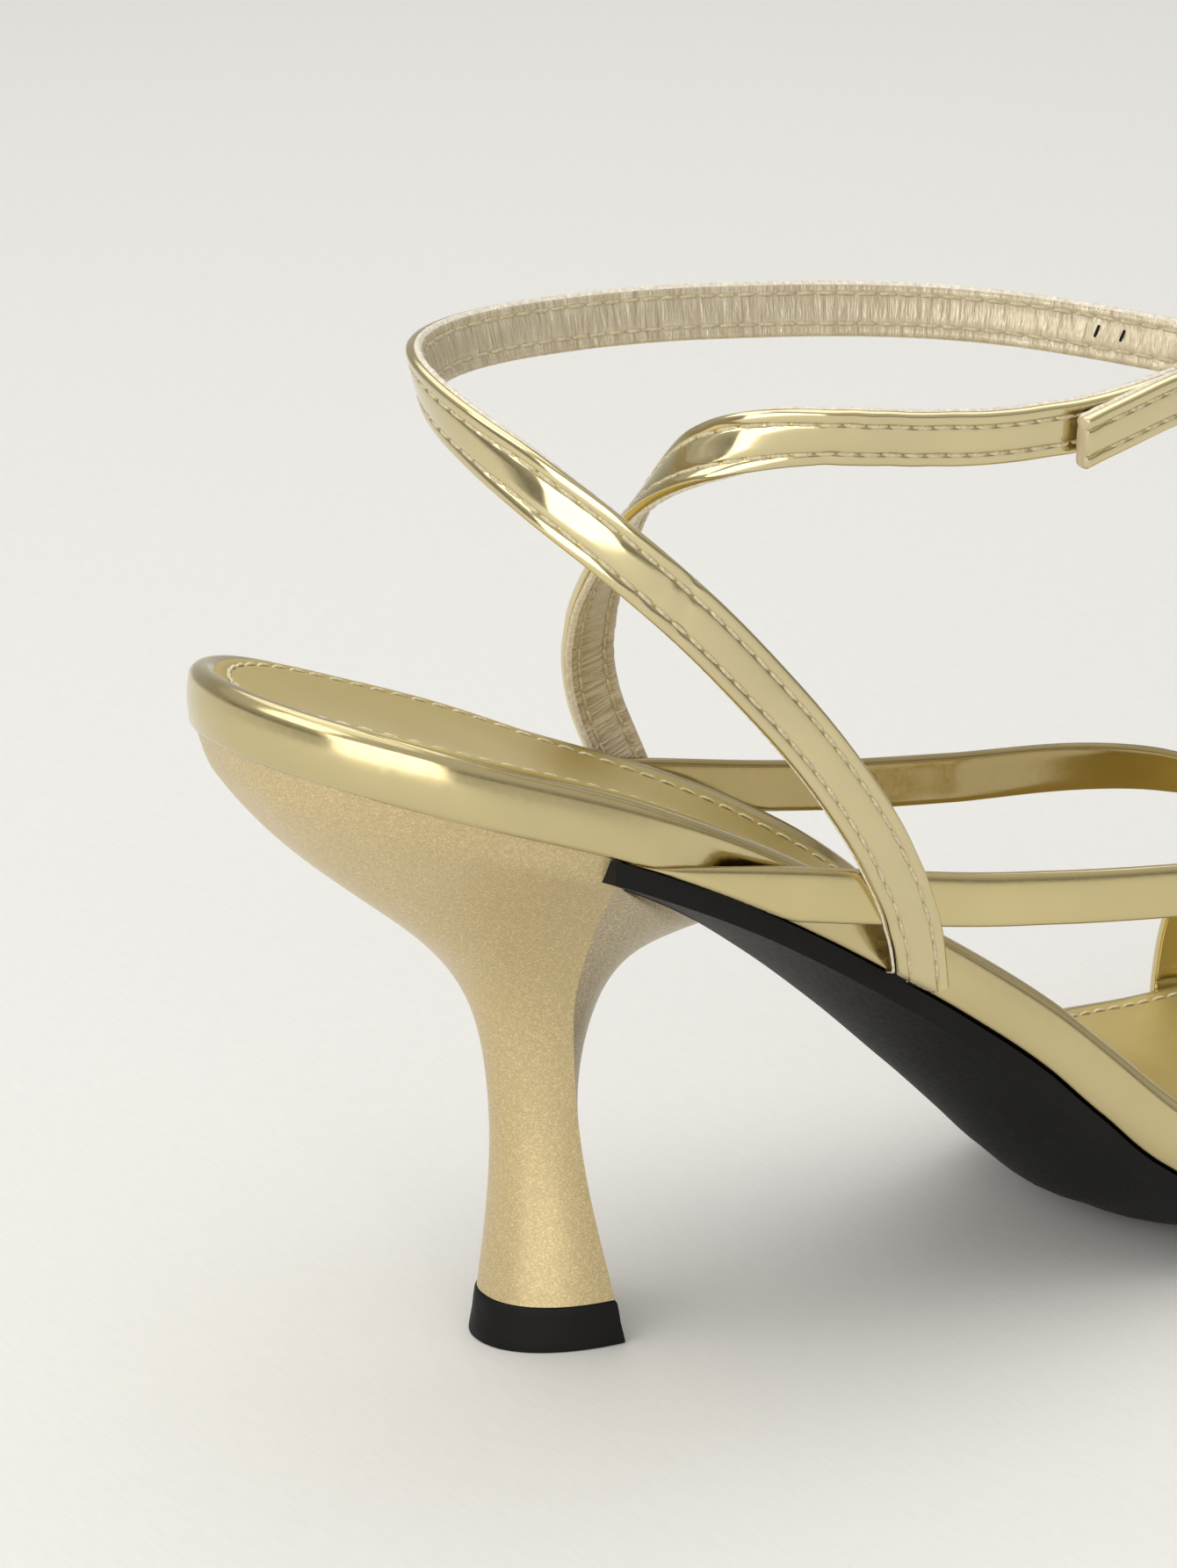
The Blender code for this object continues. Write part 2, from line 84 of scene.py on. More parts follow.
# x, half width to the outer side, to the inner side
PLAN = np.array([
    (25, 25.5, 25.5), (40, 25.5, 25.5), (60, 22.5, 23.0), (85, 20.5, 21.5), (105, 23.5, 24.5),
    (125, 29.5, 31.0), (145, 34.5, 37.5), (168, 36.6, 40.0)], float)
# heel rings: back x, z; breast corner x, z, half width; breast middle x, z
HEEL = np.array([
    (0.5, 77.0, 38.5, 64.2, 24.6, 62.0, 48.0), (2.2, 73.5, 39.2, 61.5, 22.0, 58.0, 47.4),
    (5.3, 69.0, 40.0, 58.0, 18.5, 54.5, 46.4), (9.6, 64.3, 40.3, 54.5, 15.2, 52.0, 45.0),
    (14.0, 60.6, 40.7, 51.0, 12.8, 50.2, 43.2), (18.2, 57.2, 41.0, 48.3, 11.0, 48.9, 41.2),
    (22.6, 53.8, 41.1, 45.8, 9.6, 47.9, 38.8), (27.0, 50.2, 41.4, 43.3, 8.4, 47.1, 36.2),
    (31.2, 45.5, 41.9, 40.4, 7.3, 46.5, 33.6), (33.6, 40.5, 42.5, 36.6, 6.4, 46.1, 31.0),
    (34.9, 34.5, 42.8, 32.0, 6.0, 45.7, 28.0), (35.6, 27.0, 43.4, 26.2, 6.0, 45.4, 24.2),
    (35.5, 20.0, 44.1, 19.8, 6.6, 45.9, 19.0), (35.0, 13.0, 45.2, 13.0, 7.8, 46.7, 12.8),
    (34.0, 5.6, 46.6, 5.6, 9.0, 47.8, 5.6)], float)
# strap folds: middle x, y, z, bearing of the outer face, its upward look, width
LONG_STRAP = [
    (80.3, -22.4, 42.0, -90, 0, STRAP), (77.6, -24.4, 51.6, -90, 0, STRAP),
    (73.1, -25.4, 60.8, -90, -3, STRAP), (67.3, -26.2, 69.3, -90, -2, STRAP),
    (61.0, -26.8, 77.1, -92, 2, STRAP), (54.3, -27.1, 84.4, -99, 6, STRAP),
    (47.8, -27.0, 91.2, -108, 8, STRAP), (41.1, -26.4, 97.5, -114, 9, STRAP),
    (35.1, -24.2, 103.1, -122, 9, STRAP), (30.4, -19.2, 107.9, -140, 5, STRAP),
    (27.9, -11.0, 111.6, -166, -5, STRAP), (27.9, -1.0, 114.2, -183, -12, STRAP),
    (30.8, 8.5, 115.7, -206, -15, STRAP), (37.0, 15.2, 116.3, -230, -15, STRAP),
    (46.5, 19.8, 116.5, -248, -14, STRAP), (59.7, 22.9, 116.3, -260, -13, STRAP),
    (72.4, 24.4, 115.8, -267, -13, STRAP), (84.6, 24.7, 115.0, -272, -13, STRAP),
    (96.4, 23.8, 114.2, -280, -13, STRAP), (107.3, 21.4, 113.3, -289, -13, STRAP),
    (116.9, 17.2, 112.2, -300, -12, STRAP), (125.4, 11.4, 110.8, -311, -12, STRAP),
    (133.0, 4.6, 109.3, -325, -12, STRAP), (137.6, -3.6, 108.8, -355, -12, STRAP),
    (136.2, -12.6, 109.2, -393, -12, STRAP), (129.6, -19.4, 110.0, -422, -13, STRAP),
    (121.0, -23.4, 110.8, -437, -14, STRAP), (112.0, -26.0, 110.9, -444, -16, STRAP),
    (104.9, -27.3, 109.4, -448, -17, STRAP), (97.0, -28.2, 107.5, -450, -18, STRAP)]
SHORT_STRAP = [
    (71.8, 23.2, 47.8, 90, 0, STRAP), (69.4, 24.8, 54.0, 90, 0, STRAP), (66.2, 25.3, 62.0, 90, 0, STRAP),
    (63.0, 24.6, 68.4, 93, 8, STRAP), (60.3, 21.9, 75.4, 99, 27, STRAP),
    (57.8, 16.4, 82.6, 104, 39, STRAP), (55.4, 8.6, 90.2, 118, 40, STRAP),
    (53.6, 0.0, 97.6, 134, 37, STRAP), (52.7, -7.8, 103.6, 152, 34, STRAP),
    (53.6, -14.6, 107.9, 185, 25, STRAP), (56.9, -19.3, 110.1, 224, 7, STRAP),
    (61.5, -22.2, 110.8, 246, -11, STRAP), (66.9, -23.8, 110.5, 256, -20, STRAP),
    (72.8, -24.8, 109.9, 263, -20, STRAP), (78.8, -25.4, 109.3, 268, -20, STRAP),
    (85.3, -25.6, 108.8, 271, -20, STRAP), (91.9, -25.6, 108.7, 273, -19, STRAP),
    (98.6, -25.7, 108.9, 275, -18, STRAP), (105.3, -25.8, 109.8, 276, -17, STRAP),
    (111.9, -24.7, 110.7, 277, -16, STRAP)]
OUTER_WAIST = [
    (38.0, -25.7, 61.3, -90, 0, VAMP_STRAP), (44.0, -25.45, 60.6, -90, 0, VAMP_STRAP),
    (52.0, -24.55, 59.3, -90, 0, VAMP_STRAP), (60.0, -23.7, 57.9, -90, 0, VAMP_STRAP),
    (71.0, -23.3, 55.7, -90, 0, VAMP_STRAP),
    (85.8, -24.0, 53.2, -92, 0, VAMP_STRAP), (99.5, -25.4, 51.8, -95, 0, VAMP_STRAP),
    (113.3, -27.0, 50.9, -93, 0, VAMP_STRAP), (128.0, -27.6, 50.0, -88, 4, VAMP_STRAP),
    (142.0, -26.4, 48.8, -80, 14, VAMP_STRAP), (151.5, -23.6, 46.8, -74, 34, VAMP_STRAP),
    (159.0, -20.5, 44.7, -72, 52, VAMP_STRAP), (164.6, -18.1, 45.9, -80, 60, VAMP_STRAP)]
INNER_WAIST = [
    (38.0, 25.7, 61.4, 90, 0, VAMP_STRAP), (44.0, 25.5, 60.9, 90, 0, VAMP_STRAP),
    (52.0, 24.75, 59.8, 90, 0, VAMP_STRAP), (60.0, 24.1, 58.9, 90, 0, VAMP_STRAP),
    (71.0, 23.8, 57.3, 90, 0, VAMP_STRAP),
    (85.5, 24.0, 54.9, 91, 0, VAMP_STRAP), (101.0, 24.6, 52.8, 93, 0, VAMP_STRAP),
    (118.0, 25.8, 51.0, 92, 0, VAMP_STRAP), (135.0, 26.6, 49.7, 86, 8, VAMP_STRAP),
    (147.0, 25.0, 48.2, 78, 24, VAMP_STRAP), (154.5, 22.6, 46.2, 74, 42, VAMP_STRAP),
    (160.5, 20.4, 45.4, 74, 56, VAMP_STRAP), (167.0, 18.0, 46.6, 82, 62, VAMP_STRAP)]
BALL_X, BALL_LEAN, BALL_SKEW = 159.2, 5.8, 3.3
BALL_OUTER, BALL_INNER = 38.4, 41.8
BALL_FOOT, BALL_SPRING, BALL_RISE = 4.6, 9.0, 43.0


# ------------------------------------------------------------------ curves
def through(xs, ys):
    """A curve through a table's column that never overshoots a row."""
    xs, ys = np.asarray(xs, float), np.asarray(ys, float)
    h, d = np.diff(xs), np.diff(ys) / np.diff(xs)
    m = np.zeros_like(ys)
    m[0], m[-1] = d[0], d[-1]
    for i in range(1, len(xs) - 1):
        if d[i - 1] * d[i] > 0:
            a, b = 2 * h[i] + h[i - 1], h[i] + 2 * h[i - 1]
            m[i] = (a + b) / (a / d[i - 1] + b / d[i])

    def value(x):
        x = min(max(x, xs[0]), xs[-1])
        i = min(int(np.searchsorted(xs, x, side="right")) - 1, len(h) - 1)
        s = (x - xs[i]) / h[i]
        return float((1 + 2 * s) * (1 - s) ** 2 * ys[i] + s * (1 - s) ** 2 * h[i] * m[i]
                     + s * s * (3 - 2 * s) * ys[i + 1] + s * s * (s - 1) * h[i] * m[i + 1])
    return value


def rounded(xs, ys):
    """A smooth curve through a column: the rows' slopes are their neighbours'."""
    xs, ys = np.asarray(xs, float), np.asarray(ys, float)
    m = np.gradient(ys, xs)

    def value(x):
        x = min(max(x, xs[0]), xs[-1])
        i = min(int(np.searchsorted(xs, x, side="right")) - 1, len(xs) - 2)
        h = xs[i + 1] - xs[i]
        s = (x - xs[i]) / h
        return float((1 + 2 * s) * (1 - s) ** 2 * ys[i] + s * (1 - s) ** 2 * h * m[i]
                     + s * s * (3 - 2 * s) * ys[i + 1] + s * s * (s - 1) * h * m[i + 1])
    return value


rim_at, rise_at, dish_at, belly_at = (through(PROFILE[:, 0], PROFILE[:, k]) for k in (1, 2, 3, 4))
outer_at, inner_at = (through(PLAN[:, 0], PLAN[:, k]) for k in (1, 2))


def half_width(side, x):
    at = inner_at if side > 0 else outer_at
    w = at(min(max(x, SEAT_END), TOE_START))
    if x < SEAT_END:
        w *= math.sqrt(max(0.0, 1 - ((SEAT_END - x) / SEAT_END) ** SEAT_POWER))
    if x > TOE_START:
        s = (x - TOE_START) / (LENGTH - TOE_START)
        w *= max(0.0, 1 - s ** TOE_POWER) ** (1 / TOE_POWER)
    return w


def middle(x):
    return TOE_SWING * max(0.0, (x - 150.0) / 80.0) ** 2


def stretch(x):
    x = min(max(x, 1.0), LENGTH - 1.0)
    d = (rim_at(x + 1.0) - rim_at(x - 1.0)) / 2.0
    return math.sqrt(1 + d * d)


def across(x, y):
    w = max(half_width(1 if y > middle(x) else -1, x), 0.5)
    return max(-1.0, min(1.0, (y - middle(x)) / w))


def rim_height(x, t):
    return rim_at(x) + rise_at(x) * ((1 + t) / 2) ** 2


def bed_top(x, t):
    return rim_height(x, t) - dish_at(x) * (1 - t * t)


def bed_under(x, t):
    return rim_height(x, t) - FOOTBED * stretch(x) - belly_at(x) * (1 - t * t)


def sole_top(x, t):
    return bed_under(x, t) - 0.12


def sole_under(x, t):
    return max(0.0, bed_under(x, t) - SOLE_GAP - OUTSOLE * stretch(x))


# ------------------------------------------------------------------ materials
def new_material(name):
    mat = bpy.data.materials.new(name)
    mat.use_nodes = True
    return mat, mat.node_tree.nodes, mat.node_tree.links, mat.node_tree.nodes["Principled BSDF"]


def noise(nodes, links, coord, scale, detail=4.0, rough=0.55, stretch_=(1, 1, 1)):
    mapping = nodes.new("ShaderNodeMapping")
    mapping.inputs["Scale"].default_value = stretch_
    links.new(coord, mapping.inputs["Vector"])
    tex = nodes.new("ShaderNodeTexNoise")
    tex.inputs["Scale"].default_value = scale
    tex.inputs["Detail"].default_value = detail
    tex.inputs["Roughness"].default_value = rough
    links.new(mapping.outputs["Vector"], tex.inputs["Vector"])
    return tex


def ramp(nodes, links, fac, stops):
    r = nodes.new("ShaderNodeValToRGB")
    els = r.color_ramp.elements
    els[0].position, els[0].color = stops[0][0], (*stops[0][1], 1)
    els[1].position, els[1].color = stops[-1][0], (*stops[-1][1], 1)
    for pos, col in stops[1:-1]:
        e = els.new(pos)
        e.color = (*col, 1)
    links.new(fac, r.inputs["Fac"])
    return r


def span(nodes, links, value, low, high):
    m = nodes.new("ShaderNodeMapRange")
    m.inputs["To Min"].default_value = low
    m.inputs["To Max"].default_value = high
    m.inputs["From Min"].default_value = 0.3
    m.inputs["From Max"].default_value = 0.7
    links.new(value, m.inputs["Value"])
    return m


def bump(nodes, links, height, strength, distance, before=None):
    b = nodes.new("ShaderNodeBump")
    b.inputs["Strength"].default_value = strength
    b.inputs["Distance"].default_value = distance
    links.new(height, b.inputs["Height"])
    if before is not None:
        links.new(before.outputs["Normal"], b.inputs["Normal"])
    return b


def foil(name, tint, rough=(0.10, 0.2), ripple=0.25):
    """Mirror foil leather: a bright metal film that shows the soft board below."""
    mat, nodes, links, shader = new_material(name)
    pos = nodes.new("ShaderNodeTexCoord").outputs["Object"]
    broad = noise(nodes, links, pos, 55.0, 2.0, 0.4)
    fine = noise(nodes, links, pos, 900.0, 3.0, 0.6)
    col = ramp(nodes, links, broad.outputs["Fac"],
               [(0.25, tuple(c * 0.93 for c in tint)), (0.75, tuple(min(1, c * 1.04) for c in tint))])
    links.new(col.outputs["Color"], shader.inputs["Base Color"])
    shader.inputs["Metallic"].default_value = 1.0
    r = span(nodes, links, fine.outputs["Fac"], *rough)
    links.new(r.outputs["Result"], shader.inputs["Roughness"])
    b1 = bump(nodes, links, broad.outputs["Fac"], ripple, 0.0012)
    b2 = bump(nodes, links, fine.outputs["Fac"], 0.05, 0.0001, b1)
    links.new(b2.outputs["Normal"], shader.inputs["Normal"])
    shader.inputs["Coat Weight"].default_value = 0.25
    shader.inputs["Coat Roughness"].default_value = 0.06
    return mat


def lining(name):
    """Thin beige-gold lining, wrinkled across the strap."""
    mat, nodes, links, shader = new_material(name)
    uv = nodes.new("ShaderNodeUVMap")
    uv.uv_map = "strap"
    crease = noise(nodes, links, uv.outputs["UV"], 1.0, 3.0, 0.6, (0.9, 0.16, 1))
    grain = noise(nodes, links, uv.outputs["UV"], 1.0, 2.0, 0.5, (9.0, 9.0, 1))
    # painted shade and highlight: the colour darkens in the wrinkles' troughs (low crease values, the bump's hollows)
    # and lightens on their ridges
    col = ramp(nodes, links, crease.outputs["Fac"],
               [(0.28, (0.50, 0.425, 0.29)), (0.5, (0.60, 0.52, 0.37)), (0.72, (0.72, 0.645, 0.49))])
    links.new(col.outputs["Color"], shader.inputs["Base Color"])
    shader.inputs["Metallic"].default_value = 0.35
    r = span(nodes, links, crease.outputs["Fac"], 0.42, 0.24)
    links.new(r.outputs["Result"], shader.inputs["Roughness"])
    b1 = bump(nodes, links, crease.outputs["Fac"], 0.8, 0.0008)
    b2 = bump(nodes, links, grain.outputs["Fac"], 0.15, 0.0001, b1)
    links.new(b2.outputs["Normal"], shader.inputs["Normal"])
    return mat


def raw_edge(name):
    mat, nodes, links, shader = new_material(name)
    pos = nodes.new("ShaderNodeTexCoord").outputs["Object"]
    n = noise(nodes, links, pos, 1800.0, 3.0)
    col = ramp(nodes, links, n.outputs["Fac"], [(0.3, (0.62, 0.55, 0.42)), (0.7, (0.88, 0.84, 0.75))])
    links.new(col.outputs["Color"], shader.inputs["Base Color"])
    shader.inputs["Roughness"].default_value = 0.85
    b = bump(nodes, links, n.outputs["Fac"], 0.5, 0.0002)
    links.new(b.outputs["Normal"], shader.inputs["Normal"])
    return mat


def thread(name, colour):
    mat, nodes, links, shader = new_material(name)
    pos = nodes.new("ShaderNodeTexCoord").outputs["Object"]
    n = noise(nodes, links, pos, 2600.0, 2.0)
    col = ramp(nodes, links, n.outputs["Fac"], [(0.3, tuple(c * 0.62 for c in colour)), (0.7, colour)])
    links.new(col.outputs["Color"], shader.inputs["Base Color"])
    shader.inputs["Roughness"].default_value = 0.55
    shader.inputs["Sheen Weight"].default_value = 0.25
    b = bump(nodes, links, n.outputs["Fac"], 0.4, 0.0001)
    links.new(b.outputs["Normal"], shader.inputs["Normal"])
    return mat


def glitter(name, contrast, base):
    """Metallic paint full of fine flakes."""
    mat, nodes, links, shader = new_material(name)
    pos = nodes.new("ShaderNodeTexCoord").outputs["Object"]
    cells = nodes.new("ShaderNodeTexVoronoi")
    cells.inputs["Scale"].default_value = 6200.0
    links.new(pos, cells.inputs["Vector"])
    split = nodes.new("ShaderNodeSeparateColor")
    links.new(cells.outputs["Color"], split.inputs["Color"])
    cloud = noise(nodes, links, pos, 120.0, 3.0)

    def tone(f):
        return tuple(min(1.0, c * (1 + f * contrast)) for c in base)

    col = ramp(nodes, links, split.outputs["Red"],
               [(0.0, tone(-0.15)), (0.45, tone(-0.02)), (0.8, tone(0.08)), (1.0, tone(0.3))])
    links.new(col.outputs["Color"], shader.inputs["Base Color"])
    shader.inputs["Metallic"].default_value = 0.6
    r = span(nodes, links, cloud.outputs["Fac"], 0.36, 0.44)
    links.new(r.outputs["Result"], shader.inputs["Roughness"])
    b = bump(nodes, links, split.outputs["Green"], 0.10 * contrast, 0.0001)
    links.new(b.outputs["Normal"], shader.inputs["Normal"])
    shader.inputs["Coat Weight"].default_value = 0.3
    shader.inputs["Coat Roughness"].default_value = 0.34
    return mat


def satin(name):
    """Satin gold sock: a fine, slightly grained metal film."""
    mat, nodes, links, shader = new_material(name)
    pos = nodes.new("ShaderNodeTexCoord").outputs["Object"]
    cloud = noise(nodes, links, pos, 45.0, 3.0)
    grain = noise(nodes, links, pos, 2400.0, 2.0)
    col = ramp(nodes, links, cloud.outputs["Fac"], [(0.3, (0.59, 0.465, 0.165)), (0.7, (0.65, 0.52, 0.20))])
    links.new(col.outputs["Color"], shader.inputs["Base Color"])
    shader.inputs["Metallic"].default_value = 0.8
    r = span(nodes, links, grain.outputs["Fac"], 0.38, 0.5)
    links.new(r.outputs["Result"], shader.inputs["Roughness"])
    b1 = bump(nodes, links, cloud.outputs["Fac"], 0.12, 0.001)
    b2 = bump(nodes, links, grain.outputs["Fac"], 0.18, 0.0001, b1)
    links.new(b2.outputs["Normal"], shader.inputs["Normal"])
    return mat


def rubber(name, grain_scale=700.0):
    mat, nodes, links, shader = new_material(name)
    pos = nodes.new("ShaderNodeTexCoord").outputs["Object"]
    n = noise(nodes, links, pos, grain_scale, 4.0, 0.6)
    wide = noise(nodes, links, pos, 60.0, 2.0)
    col = ramp(nodes, links, wide.outputs["Fac"], [(0.3, (0.0060, 0.0058, 0.0056)), (0.7, (0.0080, 0.0078, 0.0075))])
    links.new(col.outputs["Color"], shader.inputs["Base Color"])
    r = span(nodes, links, n.outputs["Fac"], 0.5, 0.62)
    links.new(r.outputs["Result"], shader.inputs["Roughness"])
    shader.inputs["Specular IOR Level"].default_value = 0.15
    b = bump(nodes, links, n.outputs["Fac"], 0.2, 0.0002)
    links.new(b.outputs["Normal"], shader.inputs["Normal"])
    return mat


GOLD = (0.67, 0.58, 0.335)
M_RIM = foil("rim_foil", (0.61, 0.515, 0.275), (0.15, 0.24), 0.06)
M_STRAP = foil("strap_foil", GOLD, (0.09, 0.17), 0.10)
M_FOLD = foil("folded_foil", (0.66, 0.555, 0.285), (0.11, 0.19), 0.10)
# a darker copy of the folded foil for the inner waist strap on the far side: painted shade and painted dark reflection
M_SHADED_FOLD = foil("shaded_folded_foil", (0.44, 0.345, 0.155), (0.12, 0.2), 0.10)
M_LINING = lining("strap_lining")
M_RAW = raw_edge("strap_raw_edge")
M_THREAD = thread("gold_thread", (0.66, 0.57, 0.36))
M_SOCKTHREAD = thread("sock_thread", (0.86, 0.78, 0.52))
M_HEEL = glitter("heel_glitter", 1.0, (0.585, 0.465, 0.25))
M_BREAST = glitter("breast_glitter", 1.9, (0.54, 0.45, 0.285))
M_SOCK = satin("sock_satin")
M_SOLE = rubber("outsole_rubber", 1500.0)
M_LIFT = rubber("top_piece_rubber", 420.0)
M_SLIT = rubber("slit_shadow", 900.0)


# ------------------------------------------------------------------ meshes
def piece(name, bm, mats, slot, node, sharp=35):
    bmesh.ops.recalc_face_normals(bm, faces=bm.faces)
    mesh = bpy.data.meshes.new(name)
    bm.to_mesh(mesh)
    bm.free()
    mesh.shade_smooth()
    if sharp:
        mesh.set_sharp_from_angle(angle=math.radians(sharp))
    if len(mats) > 1 and slot == "heel":
        # the corner between side and breast is an edge all the way down
        kinds = {}
        for poly in mesh.polygons:
            for key in poly.edge_keys:
                kinds.setdefault(key, set()).add(poly.material_index)
        for edge in mesh.edges:
            if len(kinds[edge.key]) > 1:
                edge.use_edge_sharp = True
    obj = bpy.data.objects.new(name, mesh)
    for m in mats:
        mesh.materials.append(m)
    bpy.context.scene.collection.objects.link(obj)
    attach(obj, "root")
    if node:
        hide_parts(node)
    return obj


def skin(rings, closed=True, cap=(True, True)):
    """Faces over rings of points (millimetres) with the same count."""
    bm = bmesh.new()
    loops = [[bm.verts.new(world(p)) for p in ring] for ring in rings]
    bm.verts.index_update()
    n = len(loops[0])
    for a, b in zip(loops, loops[1:]):
        for i in range(n if closed else n - 1):
            j = (i + 1) % n
            bm.faces.new((a[i], a[j], b[j], b[i]))
    if cap[0]:
        bm.faces.new(loops[0][::-1])
    if cap[1]:
        bm.faces.new(loops[-1])
    return bm


def zip_ends(bm, rings):
    """Close the first and last ring of an outline with strips from side to side."""
    bm.verts.ensure_lookup_table()
    n = len(rings[0])
    for base, flip in ((0, True), ((len(rings) - 1) * n, False)):
        v = [bm.verts[base + i] for i in range(n)]
        for i in range(n // 2):
            quad = [v[i], v[i + 1], v[(n - i - 1) % n], v[(n - i) % n]]
            face = []
            for q in quad:
                if q not in face:
                    face.append(q)
            if len(face) > 2:
                bm.faces.new(face[::-1] if flip else face)
    return bm


def outline(count, inset=0.0, first=0.0):
    """The sole's outline as even points, moved in by inset: x, y, side."""
    fine = []
    last = LENGTH
    for side in (-1, 1):
        pts = []
        for k in range(1201):
            a = math.pi * k / 1200
            x = first + (last - first) * (1 - math.cos(a)) / 2
            pts.append((x, middle(x) + side * half_width(side, x)))
        fine.append(pts)
    loop = np.array(fine[0] + fine[1][-2:0:-1])
    d = np.linalg.norm(np.diff(np.vstack([loop, loop[:1]]), axis=0), axis=1)
    s = np.concatenate([[0], np.cumsum(d)])
    q = np.linspace(0, s[-1], count, endpoint=False)
    closed = np.vstack([loop, loop[:1]])
    p = np.stack([np.interp(q, s, closed[:, 0]), np.interp(q, s, closed[:, 1])], -1)
    tan = np.roll(p, -1, 0) - np.roll(p, 1, 0)
    tan /= np.linalg.norm(tan, axis=1)[:, None]
    inward = np.stack([-tan[:, 1], tan[:, 0]], -1)     # the loop runs anticlockwise
    return p + inward * inset, p, inward


def place(p):
    return float(p[0]), across(float(p[0]), float(p[1]))


def footbed():
    """Covered board: a rounded foil rim round a dished top and a full underside."""
    count = 420
    _, p, inn = outline(count)
    zt = np.array([rim_height(x, -1 if y < middle(x) else 1) for x, y in p])
    zb = np.array([bed_under(x, -1 if y < middle(x) else 1) for x, y in p])
    # the two rims differ in height only where the outline is wide, so blend at the ends
    h = zt - zb
    rings = []

    pull = np.array([1.0 * math.exp(-((x - 53.0) / 7.5) ** 2) if y < 0 else 0.0 for x, y in p])

    def ring(d, z, low=0.0):
        q = p + inn * (d + pull * low)[:, None]
        return [(q[i, 0], q[i, 1], z[i]) for i in range(count)]

    def flat(d, k, fn, lift):
        q = p + inn * d
        out = []
        for x, y in q:
            y2 = middle(x) + (y - middle(x)) * k
            out.append((x, y2, fn(x, across(x, y2)) + lift))
        return out

    for k in (0.02, 0.3, 0.6, 0.85):
        rings.append(flat(5.0, k, bed_under, 0.0))
    rings.append(flat(1.6, 1.0, bed_under, 0.0))
    rings.append(ring(0.7, zb - 0.02))
    rings.append(ring(0.25, zb + 0.12))
    rings.append(ring(0.02, zb + 0.6, 0.1))
    rings.append(ring(-0.14, zb + 0.3 * h, 0.8))
    rings.append(ring(-0.2, zb + 0.42 * h, 1.0))
    rings.append(ring(-0.2, zb + 0.54 * h, 0.85))
    rings.append(ring(-0.12, zb + 0.66 * h, 0.5))
    r = 1.6
    for a in (0, 15, 30, 45, 60, 75, 90):
        c, s = math.cos(math.radians(a)), math.sin(math.radians(a))
        rings.append(ring(r - r * c, zt - r + r * s))
    rings.append(ring(2.2, zt - 0.1))
    rings.append(ring(2.7, zt - 0.5))
    for k in (1.0, 0.8, 0.5, 0.25, 0.02):
        rings.append(flat(4.2, k, bed_top, -0.25))
    return zip_ends(skin(rings, cap=(False, False)), rings)


def sock():
    count = 420
    _, p, inn = outline(count)

    def flat(d, k, lift):
        q = p + inn * d
        out = []
        for x, y in q:
            y2 = middle(x) + (y - middle(x)) * k
            out.append((x, y2, bed_top(x, across(x, y2)) + lift))
        return out

    rings = [flat(6.0, 0.02, -0.1), flat(5.0, 0.6, -0.1), flat(3.3, 1.0, -0.1), flat(2.9, 1.0, 0.0),
             flat(2.75, 1.0, 0.3), flat(2.9, 1.0, 0.62), flat(3.3, 1.0, 0.8), flat(3.9, 1.0, 0.8),
             flat(4.2, 1.0, 0.72), flat(4.6, 1.0, 0.52), flat(5.0, 1.0, 0.72), flat(5.6, 1.0, 0.86)]
    for k in (0.93, 0.8, 0.66, 0.5, 0.35, 0.2, 0.02):
        rings.append(flat(5.6, k, 0.86))
    return zip_ends(skin(rings, cap=(False, False)), rings)


SIDE, FRONT = 61, 33


def heel_ring(r, power):
    bx, bz, ex, ez, b, tx, tz = r
    out = []
    # the corner is drawn in a little so that the two faces meet in an edge
    for i in range(SIDE):
        a = -math.pi / 2 + math.pi * i / (SIDE - 1)
        # even spacing round the superellipse
        c, s = abs(math.cos(a)), math.sin(a)
        f = c ** (2 / power) if 0 < i < SIDE - 1 else 0.0
        out.append((ex - (ex - bx) * f, b * math.copysign(abs(s) ** (2 / power), s), ez + (bz - ez) * f))
    for i in range(1, FRONT + 1):
        y = b * (1 - 2 * i / (FRONT + 1))
        f = 1 - abs(y / b) ** 1.7
        out.append((ex + (tx - ex) * f, y, ez + (tz - ez) * f))
    return out


def heel_power(level):
    return 2.7 - 0.5 * min(1.0, level / 6)


